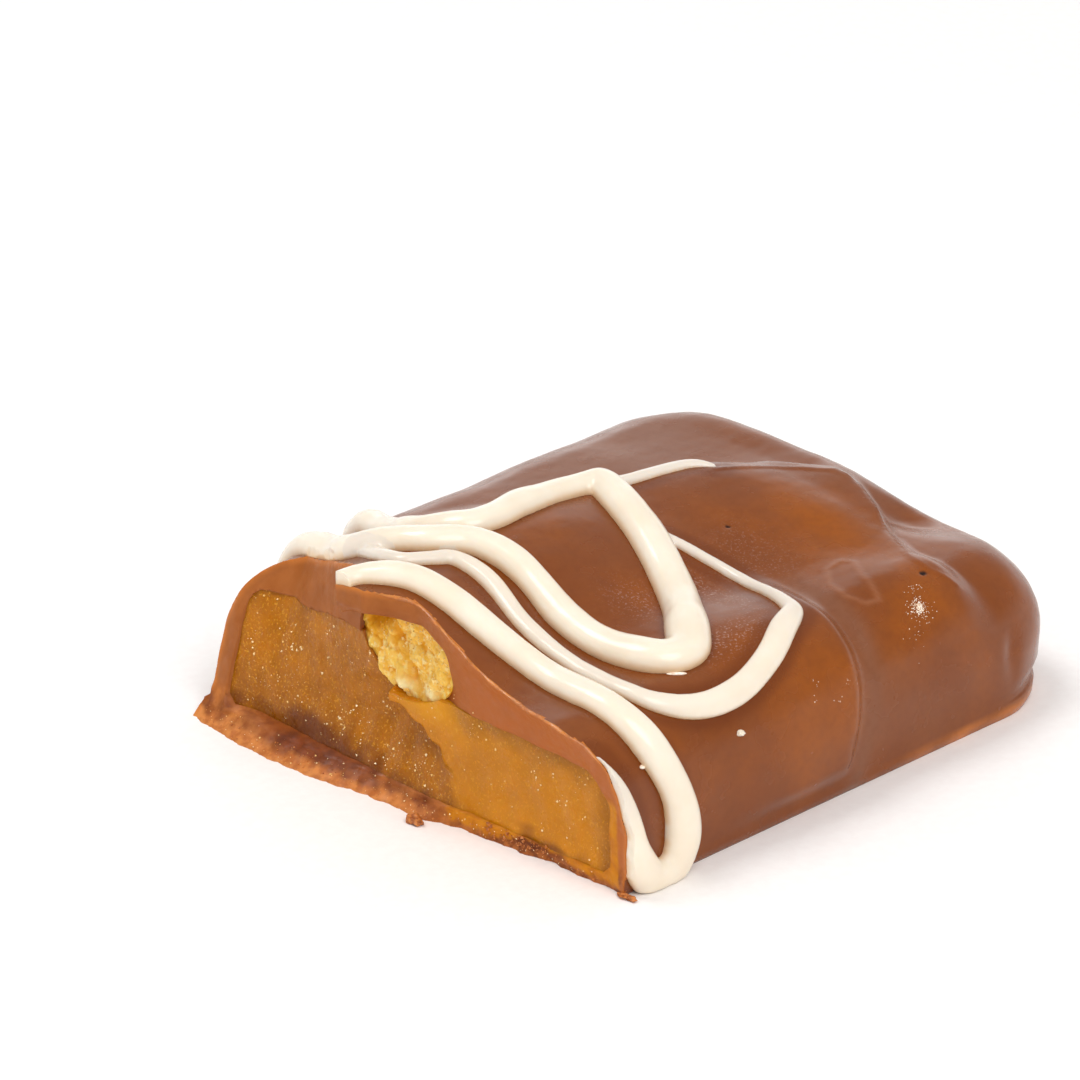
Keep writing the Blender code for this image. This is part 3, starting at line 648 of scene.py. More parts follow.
def smooth_path(controls, step):
    """Even steps along a smooth curve through the control rows."""
    rows = np.array(controls, float)
    padded = np.vstack([2.0 * rows[0] - rows[1], rows, 2.0 * rows[-1] - rows[-2]])
    fine = []
    for i in range(1, len(padded) - 2):
        p0, p1, p2, p3 = padded[i - 1:i + 3]
        for t in np.linspace(0.0, 1.0, 12, endpoint=False):
            fine.append(0.5 * (2.0 * p1 + (p2 - p0) * t
                               + (2.0 * p0 - 5.0 * p1 + 4.0 * p2 - p3) * t * t
                               + (3.0 * p1 - p0 - 3.0 * p2 + p3) * t ** 3))
    fine.append(padded[-2])
    fine = np.array(fine)
    walk = np.concatenate([[0.0], np.cumsum(np.linalg.norm(np.diff(fine[:, :2], axis=0), axis=1))])
    count = max(int(round(walk[-1] / step)), 3)
    at = np.linspace(0.0, walk[-1], count + 1)
    return np.stack([np.interp(at, walk, fine[:, k]) for k in range(4)], axis=1)


def rope(name, controls, skin_map, seed):
    """One run of drizzle that hugs the skin, with round ends."""
    path = smooth_path(controls, ROPE_STEP)
    x, g, wide, high = path.T
    travel = np.gradient(path[:, :2], axis=0)
    travel = travel / np.linalg.norm(travel, axis=1, keepdims=True)
    side = np.stack([-travel[:, 1], travel[:, 0]], axis=1)
    walk = np.arange(len(path)) * ROPE_STEP
    uneven = 1.0 + 0.035 * ripple(seed, 4.0, 5, walk, walk * 0.0)
    wide = wide / 2.0 * uneven
    high = high * uneven
    stations = [(i, 0.0, 1.0) for i in range(len(path))]
    cap = [(math.cos(a), math.sin(a)) for a in np.radians([12, 28, 45, 62, 78])]
    stations = [(0, -s, c) for c, s in cap[::-1]] + stations
    stations += [(len(path) - 1, s, c) for c, s in cap]
    rings = []
    turn = np.linspace(0.0, 2.0 * math.pi, ROPE_SIDES, endpoint=False)
    for i, ahead, scale in stations:
        across = wide[i] * np.cos(turn) * scale
        base_x = x[i] + side[i, 0] * across + travel[i, 0] * ahead * wide[i]
        base_g = g[i] + side[i, 1] * across + travel[i, 1] * ahead * wide[i]
        place, normal = skin_map.at(base_x, base_g)
        up = np.sin(turn)
        lift = np.where(up > 0.0, high[i] * scale * np.abs(up) ** 0.85, 0.5 * up * scale)
        ring = place + normal * lift[:, None]
        ring[:, 2] = np.maximum(ring[:, 2], 0.0)
        rings.append(ring)
    body = tube(rings, name)
    return body, path


# Joining and finishing

def select_only(part):
    for other in bpy.context.selected_objects:
        other.select_set(False)
    part.select_set(True)
    bpy.context.view_layer.objects.active = part


def apply_all(part):
    select_only(part)
    for modifier in list(part.modifiers):
        bpy.ops.object.modifier_apply(modifier=modifier.name)


def face_outward(part):
    select_only(part)
    bpy.ops.object.mode_set(mode='EDIT')
    bpy.ops.mesh.select_all(action='SELECT')
    bpy.ops.mesh.normals_make_consistent(inside=False)
    bpy.ops.object.mode_set(mode='OBJECT')


def combine(part, other, operation):
    face_outward(other)
    step = part.modifiers.new("Combine", 'BOOLEAN')
    step.operation = operation
    step.solver = 'MANIFOLD'
    step.object = other
    apply_all(part)
    bpy.data.objects.remove(other, do_unlink=True)


def break_off(part, where, across, up, spacing):
    """Cut away everything in front of a broken face."""
    combine(part, break_cutter(where, across, up, spacing), 'DIFFERENCE')


def corners(part):
    points = np.zeros(len(part.data.vertices) * 3)
    part.data.vertices.foreach_get("co", points)
    return points.reshape(-1, 3)


def centres(part):
    points = np.zeros(len(part.data.polygons) * 3)
    part.data.polygons.foreach_get("center", points)
    return points.reshape(-1, 3)


def store(part, name, values):
    """Keep a number for each corner of the mesh, for its material to read."""
    layer = part.data.attributes.new(name, 'FLOAT', 'POINT')
    layer.data.foreach_set("value", np.asarray(values, np.float32))


def set_zones(part, zones):
    """Give each face its material, with a sharp edge where two of them meet."""
    part.data.materials.clear()
    part.data.polygons.foreach_set("material_index", np.asarray(zones, np.int32))
    part.data.polygons.foreach_set("use_smooth", np.ones(len(zones), bool))
    loops = len(part.data.loops)
    edge = np.zeros(loops, int)
    part.data.loops.foreach_get("edge_index", edge)
    total = np.zeros(len(part.data.polygons), int)
    part.data.polygons.foreach_get("loop_total", total)
    zone = np.repeat(np.asarray(zones, int), total)
    least = np.full(len(part.data.edges), 99)
    most = np.full(len(part.data.edges), -1)
    np.minimum.at(least, edge, zone)
    np.maximum.at(most, edge, zone)
    layer = part.data.attributes.get("sharp_edge")
    if layer is None:
        layer = part.data.attributes.new("sharp_edge", 'BOOLEAN', 'EDGE')
    layer.data.foreach_set("value", least != most)
    part.data.update()


def nearest(tree_points, query):
    """Index of the nearest tree point and the distance, for each query point."""
    tree = KDTree(len(tree_points))
    for index, point in enumerate(tree_points):
        tree.insert(point, index)
    tree.balance()
    found = [tree.find(point)[1:] for point in query]
    return np.array([f[0] for f in found]), np.array([f[1] for f in found])


def place_in_frame(part, materials):
    shift = Matrix.Translation((OFFSET[0], OFFSET[1], 0.0))
    part.data.transform(Matrix.Scale(MM, 4) @ shift)
    for material in materials:
        part.data.materials.append(material)


# Materials

def linear(red, green, blue):
    """Screen colour from 0 to 255 as a linear colour."""
    out = []
    for value in (red, green, blue):
        c = value / 255.0
        out.append(c / 12.92 if c <= 0.04045 else ((c + 0.055) / 1.055) ** 2.4)
    return (*out, 1.0)


class Look:
    """Small helper that builds one material out of nodes."""

    def __init__(self, name):
        self.material = bpy.data.materials.new(name)
        self.material.use_nodes = True
        self.tree = self.material.node_tree
        self.shader = self.tree.nodes["Principled BSDF"]
        self.coords = self.tree.nodes.new("ShaderNodeTexCoord").outputs["Object"]

    def node(self, kind, **values):
        made = self.tree.nodes.new(kind)
        for key, value in values.items():
            setattr(made, key, value)
        return made

    def put(self, socket, value):
        """Give a socket a plain value or a link."""
        if isinstance(value, (int, float, tuple)):
            socket.default_value = value
        else:
            self.tree.links.new(value, socket)

    def noise(self, size, detail=3.0, roughness=0.55):
        """Noise with features of about the given size in millimetres."""
        made = self.node("ShaderNodeTexNoise")
        self.put(made.inputs["Vector"], self.coords)
        self.put(made.inputs["Scale"], 1.0 / (size * MM))
        self.put(made.inputs["Detail"], detail)
        self.put(made.inputs["Roughness"], roughness)
        return made.outputs["Fac"]

    def spread(self, value, low, high, start=0.0, end=1.0):
        made = self.node("ShaderNodeMapRange", interpolation_type='SMOOTHSTEP')
        for key, number in (("Value", value), ("From Min", low), ("From Max", high),
                            ("To Min", start), ("To Max", end)):
            self.put(made.inputs[key], number)
        return made.outputs["Result"]

    def uneven(self, size, detail, low, high, start=0.0, end=1.0):
        """Noise, spread to run from start to end."""
        return self.spread(self.noise(size, detail), low, high, start, end)

    def times(self, a, b):
        made = self.node("ShaderNodeMath", operation='MULTIPLY')
        self.put(made.inputs[0], a)
        self.put(made.inputs[1], b)
        return made.outputs[0]

    def stored(self, name, share=None):
        """Number kept on the mesh, times a share if one is given."""
        value = self.node("ShaderNodeAttribute", attribute_name=name).outputs["Fac"]
        return value if share is None else self.times(value, share)

    def mix(self, share, a, b):
        """Blend of two colours, each a link or a screen colour from 0 to 255."""
        made = self.node("ShaderNodeMix", data_type='RGBA')
        self.put(made.inputs[0], share)
        for index, colour in ((6, a), (7, b)):
            self.put(made.inputs[index], linear(*colour) if isinstance(colour, tuple) else colour)
        return made.outputs[2]

    def bump(self, height, depth, under=None):
        """Relief with the given depth in millimetres."""
        made = self.node("ShaderNodeBump")
        self.put(made.inputs["Strength"], 1.0)
        self.put(made.inputs["Distance"], depth * MM)
        self.put(made.inputs["Height"], height)
        if under is not None:
            self.put(made.inputs["Normal"], under)
        return made.outputs["Normal"]

    def finish(self, colour, rough, normal=None, spec=0.5, glow=0.0, reach=1.0, tint=(1.0, 0.4, 0.15)):
        """Set the shader; glow is the share of light that spreads inside."""
        self.put(self.shader.inputs["Base Color"], colour)
        self.put(self.shader.inputs["Roughness"], rough)
        for key, value in (("Metallic", 0.0), ("Specular IOR Level", spec), ("Subsurface Weight", glow),
                           ("Subsurface Scale", reach * MM), ("Subsurface Radius", tint)):
            self.shader.inputs[key].default_value = value
        if normal is not None:
            self.put(self.shader.inputs["Normal"], normal)
        return self.material


def chocolate_skin():
    look = Look("milk_chocolate_skin")
    # Warm tone of the skin, partly painted light: brighter orange on the lit swellings
    colour = look.mix(look.spread(look.stored("warm_and_lit"), 0.0, 1.0), (124, 63, 20), (148, 76, 8))
    colour = look.mix(look.times(look.uneven(7.0, 2.0, 0.5, 0.72), 0.4), colour, (130, 73, 36))
    # Painted reflection of the sky, greyish on the back slopes and beside the fold
    colour = look.mix(look.stored("sky_reflection", 0.75), colour, (128, 82, 58))
    colour = look.mix(look.stored("sole", 0.85), colour, (196, 116, 50))
    colour = look.mix(look.stored("ring", 0.45), colour, (160, 104, 72))
    colour = look.mix(look.uneven(0.5, 4.0, 0.35, 0.75, 0.0, 0.2), colour, (102, 48, 12))
    dust = look.uneven(0.16, 2.0, 0.56, 0.68)
    colour = look.mix(look.times(dust, look.stored("bloom")), colour, (186, 150, 138))
    # Painted shade beside the drizzle, partly a darker tint where the chocolate meets the cream
    rope_shade = look.spread(look.stored("rope_gap"), 0.0, 0.8, 1.0, 0.0)
    colour = look.mix(look.times(rope_shade, 0.6), colour, (104, 46, 4))
    # Painted shade inside the pinholes
    colour = look.mix(look.spread(look.stored("pit_shade"), 0.2, 0.9), colour, (40, 16, 8))
    rough = look.uneven(2.5, 3.0, 0.3, 0.7, 0.17, 0.3)
    normal = look.bump(look.noise(0.9, 3.0), 0.012)
    normal = look.bump(look.noise(0.12, 2.0), 0.004, normal)
    return look.finish(colour, rough, normal, 0.32, 0.1, 0.6, (1.0, 0.45, 0.25))


def chocolate_broken():
    look = Look("milk_chocolate_broken")
    near = look.stored("near")
    shade_and_wet = look.stored("shade_and_wet")
    colour = look.mix(look.uneven(1.6, 4.0, 0.3, 0.7), (164, 95, 42), (152, 84, 30))
    colour = look.mix(near, colour, (178, 98, 40))
    lip = look.mix(look.uneven(0.7, 4.0, 0.35, 0.65), (208, 130, 62), (178, 100, 40))
    dull = look.mix(look.uneven(0.5, 4.0, 0.4, 0.6), (166, 92, 38), (112, 52, 16))
    lip = look.mix(look.times(near, 0.85), lip, dull)
    colour = look.mix(look.stored("torn"), colour, lip)
    # Lighter line along the rim of the break: painted edge highlight on the crest
    rim = look.spread(look.stored("rim_gap"), 0.0, 0.5, 1.0, 0.0)
    colour = look.mix(look.times(rim, 0.45), colour, (214, 128, 52))
    # Dark patches where the caramel meets the base: painted shade in that recess, partly dark wet caramel
    shaded_wet_colour = look.mix(look.uneven(1.4, 3.0, 0.35, 0.65), (126, 56, 6), (98, 40, 2))
    colour = look.mix(shade_and_wet, colour, shaded_wet_colour)
    smear = look.mix(look.uneven(1.0, 3.0, 0.35, 0.65), (204, 128, 6), (188, 110, 4))
    colour = look.mix(look.stored("run_down"), colour, smear)
    rough = look.uneven(0.5, 3.0, 0.3, 0.7, 0.35, 0.55)
    rough = look.times(rough, look.spread(shade_and_wet, 0.0, 1.0, 1.0, 0.85))
    normal = look.bump(look.noise(0.35, 4.0), 0.02)
    return look.finish(colour, rough, normal, 0.2, 0.12, 0.7, (1.0, 0.45, 0.25))


def caramel_look():
    look = Look("caramel")
    flush = look.mix(look.uneven(3.0, 2.0, 0.3, 0.7), (202, 127, 2), (188, 117, 4))
    # The pulled-back caramel is darker: painted shade in its recess, partly its own tone
    pulled = look.mix(look.uneven(2.2, 3.0, 0.3, 0.7), (178, 107, 6), (158, 93, 6))
    colour = look.mix(look.stored("left"), flush, pulled)
    colour = look.mix(look.stored("tongue"), colour, (224, 152, 8))
    colour = look.mix(look.stored("shade", 0.75), colour, (150, 92, 6))
    # Fine pale specks: painted glints, partly the grain of the caramel
    colour = look.mix(look.uneven(0.16, 2.0, 0.55, 0.7, 0.0, 0.5), colour, (232, 168, 56))
    # Darker where the caramel meets the base: painted shade in that recess, partly dark wet caramel
    colour = look.mix(look.stored("shade_and_wet", 0.85), colour, (98, 40, 4))
    rough = look.uneven(0.4, 2.0, 0.35, 0.65, 0.25, 0.42)
    normal = look.bump(look.noise(0.25, 3.0, 0.7), 0.012)
    return look.finish(colour, rough, normal, 0.22, 0.3, 1.0, (1.0, 0.5, 0.08))


def biscuit_look():
    look = Look("biscuit")
    deep = look.stored("deep")
    colour = look.mix(look.uneven(0.8, 3.0, 0.35, 0.65), (252, 204, 92), (242, 182, 56))
    colour = look.mix(deep, colour, (236, 166, 14))
    pale = look.uneven(0.45, 2.0, 0.5, 0.64, 0.0, 0.7)
    pale = look.times(pale, look.spread(deep, 0.0, 1.0, 1.0, 0.2))
    colour = look.mix(pale, colour, (255, 228, 150))
    colour = look.mix(look.stored("flake"), colour, (255, 232, 170))
    rough = look.uneven(0.4, 2.0, 0.3, 0.7, 0.5, 0.8)
    normal = look.bump(look.noise(0.15, 4.0, 0.7), 0.02)
    return look.finish(colour, rough, normal, 0.35, 0.3, 0.8, (1.0, 0.7, 0.3))


def drizzle_look():
    look = Look("cream_drizzle")
    colour = look.mix(look.uneven(3.0, 3.0, 0.3, 0.7), (241, 229, 210), (237, 222, 200))
    colour = look.mix(look.stored("thin"), colour, (226, 214, 200))
    edge = look.spread(look.stored("rise"), 0.0, 0.55, 1.0, 0.0)
    colour = look.mix(look.times(edge, 0.75), colour, (222, 176, 116))
    rough = look.uneven(1.5, 2.0, 0.3, 0.7, 0.12, 0.22)
    normal = look.bump(look.noise(1.6, 1.0), 0.015)
    return look.finish(colour, rough, normal, 0.5, 0.25, 0.8, (1.0, 0.75, 0.5))


def small_look(name, patch, one, other, rough, spec, relief=None, glow=0.0):
    """Patches of two colours on a small piece, with fine relief if it is given."""
    look = Look(name)
    colour = look.mix(look.uneven(*patch), one, other)
    size, low, high = rough
    normal = look.bump(look.noise(*relief[:2]), relief[2]) if relief else None
    return look.finish(colour, look.uneven(size, 2.0, 0.3, 0.7, low, high), normal, spec, glow, 0.5)


# Pieces

rows = skin_rows()
skin_grid, skin_walk = skin(rows, SKIN_ACROSS)
skin_map = SkinMap(rows, skin_grid, skin_walk)
skin_points = skin_grid.reshape(-1, 3)


def chocolate():
    body = coated_block(skin_grid)
    face_outward(body)
    break_off(body, break_coating, (-22.0, 22.0), (-2.0, 18.0), BREAK_STEP)
    combine(body, loft_block("caramel_room", 0.0), 'DIFFERENCE')
    combine(body, rod_block("rod_room", 0.0), 'DIFFERENCE')
    return body


def caramel():
    body = loft_block("caramel_body", CARAMEL_OVERLAP)
    face_outward(body)
    break_off(body, break_caramel, (-18.0, 18.0), (-1.0, 10.5), CARAMEL_STEP)
    combine(body, rod_block("rod_room", -ROD_BED_OVERLAP), 'DIFFERENCE')
    return body


def biscuit():
    body = rod_block("biscuit_body", ROD_OVERLAP)
    face_outward(body)
    break_off(body, break_rod, (-4.0, 7.5), (5.5, 14.0), ROD_STEP)
    return body


def drizzle():
    paths = []
    body = None
    for seed, (name, controls) in enumerate(DRIZZLE.items()):
        run, path = rope("run_" + name, controls, skin_map, 60 + seed)
        paths.append(path)
        if body is None:
            body = run
            face_outward(body)
        else:
            combine(body, run, 'UNION')
    remesh = body.modifiers.new("Blend", 'REMESH')
    remesh.mode = 'VOXEL'
    remesh.voxel_size = ICING_VOXEL
    smooth = body.modifiers.new("Soften", 'SMOOTH')
    smooth.factor = 0.5
    smooth.iterations = 6
    apply_all(body)
    break_off(body, drizzle_end, (-22.0, 22.0), (-2.0, 18.0), BREAK_STEP)
    return body, np.concatenate(paths)


# Corners and faces of one angular grain
LUMP = [(1, 0, 0), (-1, 0, 0), (0, 1, 0), (0, -1, 0), (0, 0, 1), (0, 0, -1)]
LUMP_FACES = [(0, 2, 4), (2, 1, 4), (1, 3, 4), (3, 0, 4), (2, 0, 5), (1, 2, 5), (3, 1, 5), (0, 3, 5)]


def scatter(name, places, sizes, seed):
    """Small angular grains at the given places, all in one piece."""
    rng = np.random.default_rng(seed)
    points = []
    faces = []
    for place, size in zip(places, sizes):
        turn = rng.normal(size=(3, 3))
        turn, _ = np.linalg.qr(turn)
        shape = np.array(LUMP, float) * rng.uniform(0.6, 1.3, 3) * size
        first = len(points)
        points += (shape @ turn + place).tolist()
        flip = np.linalg.det(turn) < 0.0
        for face in LUMP_FACES:
            corner = tuple(first + k for k in face)
            faces.append(corner[::-1] if flip else corner)
    return make_object(name, points, faces)


def lump(name, place, reach, seed, rough=0.25):
    """One crumb: an uneven round body."""
    rng = np.random.default_rng(seed)
    rings = []
    for up in np.linspace(-1.45, 1.45, 9):
        ring = []
        for a in np.linspace(0.0, 2.0 * math.pi, 14, endpoint=False):
            way = np.array([math.cos(up) * math.cos(a), math.cos(up) * math.sin(a), math.sin(up)])
            size = 1.0 + rough * float(ripple(seed, 1.1, 6, way[0] * 1.3 + way[2], way[1] * 1.3))
            ring.append(np.array(place) + way * np.array(reach) * size)
        rings.append(ring[::-1])
    body = tube(rings, name)
    for corner in body.data.vertices:
        corner.co.z = max(corner.co.z, 0.0)
    face_outward(body)
    return body


# Clusters of pale grains that paint glints on the caramel, as (y, z, count), and painted highlights on the
# skin, as (x, girth, reach, count)
CARAMEL_GLINTS = [(10.9, 9.2, 12), (13.0, 5.4, 14), (4.1, 4.8, 10), (7.6, 2.4, 16), (2.4, 1.7, 18),
                  (-0.4, 2.4, 24), (-10.3, 5.0, 10), (-14.3, 6.1, 8), (-5.5, 6.6, 12), (-12.1, 4.5, 8)]
SKIN_GLINTS = [(28.35, 17.3, 0.25, 60), (28.35, 17.2, 0.5, 150), (28.3, 17.4, 0.9, 60),
               (28.9, 16.3, 0.7, 20), (27.2, 18.8, 0.9, 16), (17.6, 18.9, 0.3, 5),
               (20.0, 19.5, 0.3, 6), (18.7, 20.4, 0.3, 4), (17.0, 19.8, 0.2, 3)]


def strewn(rng, across, up, count):
    """Even scatter of y and z over a broken face."""
    return rng.uniform(*across, count), rng.uniform(*up, count)


def on_face(where, y, z, behind):
    """Points that lie the given depth behind a broken face."""
    return np.stack([where(y, z) + behind, y, z], axis=1)


def glints():
    """Tiny grains on the broken caramel, the lip and the biscuit, coloured pale as painted glints."""
    rng = np.random.default_rng(71)
    y, z = strewn(rng, (-16.5, 16.8), (1.2, 8.8), 3200)
    left = left_share(y, z)
    cluster = ripple(72, 2.5, 6, y, z) > 0.4
    low = band(z - 2.6 - 0.1 * (y - 4.0), 0.0, 0.9)
    odds = 0.05 + 0.05 * cluster + left * (0.04 + 0.16 * cluster + 0.28 * low)
    keep = rng.random(len(y)) < odds
    y, z = y[keep], z[keep]
    size = 0.03 + 0.085 * rng.random(len(y)) ** 3
    for middle, high, count in CARAMEL_GLINTS:
        y = np.append(y, rng.normal(middle, 0.55, count))
        z = np.append(z, rng.normal(high, 0.45, count))
        size = np.append(size, 0.03 + 0.08 * rng.random(count) ** 2)
    keep = (z > 1.05) & (z < 8.6)
    y, z, size = y[keep], z[keep], size[keep]
    places = [on_face(break_caramel, y, z, 0.2 * size)]
    y, z = strewn(rng, (-17.0, 18.0), (0.12, 0.9), 150)
    places.append(on_face(break_coating, y, z, 0.01))
    size = np.append(size, 0.025 + 0.05 * rng.random(len(y)) ** 2)
    at = rng.uniform((-2.6, 9.6), (1.5, 12.2), (45, 2))
    places.append(on_face(break_rod, at[:, 0], at[:, 1], -0.01))
    size = np.append(size, 0.03 + 0.03 * rng.random(len(at)) ** 2)
    return scatter("pale_glints", np.concatenate(places), size, 73)


def skin_glints():
    """Painted highlights on the skin: a burst of bright grains, and a few fainter ones."""
    rng = np.random.default_rng(74)
    places = []
    size = []
    for x, g, reach, count in SKIN_GLINTS:
        places.append(skin_map.at(rng.normal(x, 0.5 * reach, count), rng.normal(g, 0.5 * reach, count))[0])
        size.append(0.025 + (0.06 if reach < 0.3 else 0.035) * rng.random(count) ** 2)
    return scatter("skin_glints", np.concatenate(places), np.concatenate(size), 75)


def rim_thread():
    """The thin crest where the skin meets the broken face, coloured bright as a painted edge highlight."""
    g = np.linspace(-1.2, 18.9, 150)
    x = np.zeros(len(g))
    for _ in range(25):
        place, _ = skin_map.at(x, g)
        x = x + 0.6 * (break_coating(place[:, 1], place[:, 2]) - place[:, 0])
    padded = np.concatenate([np.repeat(x[:1], 4), x, np.repeat(x[-1:], 4)])
    x = np.convolve(padded, np.ones(9) / 9.0, mode='valid')
    place, normal = skin_map.at(x, g)
    along = np.gradient(place, axis=0)
    along = along / np.linalg.norm(along, axis=1, keepdims=True)
    side = np.cross(along, normal)
    reach = 0.11 * np.sqrt(np.clip(np.minimum(g + 1.25, 18.95 - g) / 1.5, 0.02, 1.0))
    reach = reach * (1.0 + 0.25 * ripple(95, 2.0, 6, g, g * 0.0))
    rings = []
    for i in range(len(g)):
        ring = []
        for a in np.linspace(0.0, 2.0 * math.pi, 10, endpoint=False):
            out = math.sin(a) * normal[i] * 0.8 + math.cos(a) * side[i]
            ring.append(place[i] - 0.05 * normal[i] + reach[i] * out)
        rings.append(ring)
    body = tube(rings, "rim_thread")
    face_outward(body)
    return body


def grains():
    """Pale grains of the broken biscuit."""
    rng = np.random.default_rng(77)
    y, z = strewn(rng, (-3.6, 4.0), (6.6, 12.9), 520)
    bare = rng.random(len(y)) > 0.2 + 0.8 * valley(y, z, 0.6)
    keep = ((y / 4.3) ** 2 + ((z - 9.8) / 3.05) ** 2 < 0.95) & bare
    y, z = y[keep] + 1.0, z[keep]
    size = 0.1 + 0.16 * rng.random(len(y)) ** 2
    return scatter("biscuit_grains", on_face(break_rod, y, z, 0.45 * size), size, 78)


def crumbs():
    """Crumbs of chocolate along the torn front edge of the base."""
    rng = np.random.default_rng(81)
    y, z = strewn(rng, (-17.5, 18.3), (0.05, 0.7), 170)
    size = 0.04 + 0.08 * rng.random(len(y)) ** 3
    more_y, more_z = strewn(rng, (-12.5, -6.5), (0.3, 1.0), 60)
    y = np.append(y, more_y)
    z = np.append(z, more_z)
    size = np.append(size, 0.06 + 0.12 * rng.random(len(more_y)) ** 2)
    keep = z - size > 0.0
    places = on_face(break_coating, y, z, 0.2 * size)[keep]
    return scatter("chocolate_crumbs", places, size[keep], 82)


def fleck():
    """One drop of cream beside the drizzle."""
    body = lump("cream_fleck", skin_map.at(np.array(10.5), np.array(19.9))[0], (0.3, 0.32, 0.2), 93, 0.1)
    store(body, "rise", np.ones(len(body.data.vertices)))
    return body


def painted_highlight_beads():
    """Small pale lumps painted as bright highlights in the wet edge beside the rope, as (x, girth, length,
    width).
    """
    beads = []
    for x, g, long, wide in ((9.1, 14.7, 0.65, 0.14), (6.9, 17.5, 0.5, 0.13), (2.3, 19.5, 0.2, 0.24)):
        at, _ = skin_map.at(np.array(x), np.array(g))
        number = len(beads)
        bead = lump("painted_highlight_bead_%d" % number, (0.0, 0.0, 1.0), (long, wide, 0.12), 96 + number, 0.05)
        bead.data.transform(Matrix.Translation(Vector(at)) @ Matrix.Rotation(-0.7, 4, 'Z')
                            @ Matrix.Translation((0.0, 0.0, -1.0)))
        beads.append(bead)
    return beads


coating = chocolate()
filling = caramel()
core = biscuit()
icing, icing_path = drizzle()
icing_line = skin_map.at(icing_path[:, 0], icing_path[:, 1])[0]


# Tints of the skin, as (x, girth, reach in x, reach in girth, strength): warm tone partly painted light on
# the lit swellings, real bloom, and painted sky reflection
WARM_AND_LIT = [(30.5, 7.5, 4.0, 4.5, 0.7), (18.0, 20.0, 4.5, 4.0, 0.75), (28.5, 16.8, 2.5, 2.5, 0.6)]
BLOOM = [(18.6, 9.0, 1.2, 3.2, 0.8), (14.0, 13.8, 3.4, 1.3, 0.8), (13.6, 7.0, 1.6, 2.0, 0.5),
         (24.0, 7.0, 2.5, 3.0, 0.3)]
SKY_REFLECTION = [(37.5, 3.0, 3.0, 4.0, 0.8), (30.0, -12.0, 16.0, 9.0, 1.0)]


def dress_coating():
    """Say which faces are skin, which are broken, and what each of them carries."""
    middle = centres(coating)
    x, y, z = middle.T
    skin_faces = nearest(skin_points, middle)[1] < 0.2
    skin_faces |= (np.abs(y) > CARAMEL_Y + 0.3) | (x > 5.0)
    front_faces = np.abs(x - break_coating(y, z)) < 0.08
    set_zones(coating, np.where(front_faces | ~skin_faces & (z > 0.02), 1, 0))

    points = corners(coating)
    x, y, z = points.T
    walk = skin_walk.reshape(-1)[nearest(skin_points, points)[0]]
    # Distance to the drizzle, for the painted shade beside the ropes
    store(coating, "rope_gap", np.clip(nearest(icing_line, points)[1] - 1.15, 0.0, 9.0))
    # Warm tone that varies at random, partly painted light on the lit swellings
    warm_and_lit = 0.2 + mounds(x, walk, WARM_AND_LIT) + 0.16 * ripple(51, 6.0, 6, x, walk)
    store(coating, "warm_and_lit", np.clip(warm_and_lit + 0.06 * ripple(52, 2.4, 8, x, walk), 0.0, 1.0))
    store(coating, "bloom", np.clip(mounds(x, walk, BLOOM), 0.0, 1.0))
    # Painted shade inside the pinholes
    store(coating, "pit_shade", mounds(x, walk, [(*PITS[0], 0.17, 0.17, 1.4), (*PITS[1], 0.24, 0.2, 1.4)]))
    sole = (1.0 - ease(0.5, 1.1, z)) * ease(22.0, 32.0, x)
    store(coating, "sole", sole * (0.75 + 0.25 * ripple(59, 3.0, 6, x, walk)))
    # Painted sky reflection: a band beside the fold and patches on the ridge end and the far slope
    sky_reflection = band(x - fold_line(walk), 1.0, 0.95) * ease(8.0, 12.0, walk) + mounds(x, walk, SKY_REFLECTION)
    store(coating, "sky_reflection", np.clip(sky_reflection, 0.0, 1.0))
    store(coating, "ring", band(path_distance(x, walk, RING), 0.0, 0.2))
    store(coating, "torn", 1.0 - ease(0.6, 2.6, z))
    place, normal = skin_map.at(x, np.clip(walk, -28.0, 28.0))
    store(coating, "rim_gap", np.maximum(np.sum((place - points) * normal, axis=1), 0.0))
    store(coating, "near", 1.0 - ease(-7.0, 0.5, y))
    # Painted shade where the caramel meets the base, partly dark wet smears
    store(coating, "shade_and_wet", shade_and_wet_share(y, z))
    store(coating, "run_down", run_down(y, z))


def dress_filling():
    _, y, z = corners(filling).T
    set_zones(filling, np.zeros(len(filling.data.polygons), int))
    store(filling, "left", left_share(y, z))
    store(filling, "shade_and_wet", shade_and_wet_share(y, z))
    lid = CARAMEL_NEAR_Z + (CARAMEL_PEAK_Z - CARAMEL_NEAR_Z) * ease(-2.0, 6.0, y)
    shade = ease(-1.8, 0.0, z - lid + 0.3 * ripple(57, 2.5, 6, y, z)) * ease(2.0, 5.0, -y)
    shade = np.maximum(shade, ease(-2.2, 0.0, -y - CARAMEL_Y + 0.2 * ripple(58, 2.0, 6, y, z)))
    store(filling, "shade", shade)
    store(filling, "tongue", np.clip(mound(y, z, (-1.2, 7.0), (2.6, 1.0), 0.9), 0.0, 1.0))


def dress_core():
    x, y, z = corners(core).T
    set_zones(core, np.zeros(len(core.data.polygons), int))
    hollow = valley(y, z, 0.6) * ease(6.8, 8.0, z)
    store(core, "deep", np.clip(0.8 * hollow + ease(0.0, 0.2, x - rod_plain(y, z)), 0.0, 1.0))
    flake = mounds(y, z, [(1.6, 7.2, 0.7, 0.45, 1.3), (-0.9, 7.5, 0.65, 0.5, 1.3)])
    store(core, "flake", np.clip(flake, 0.0, 1.0) * (x < 2.0))


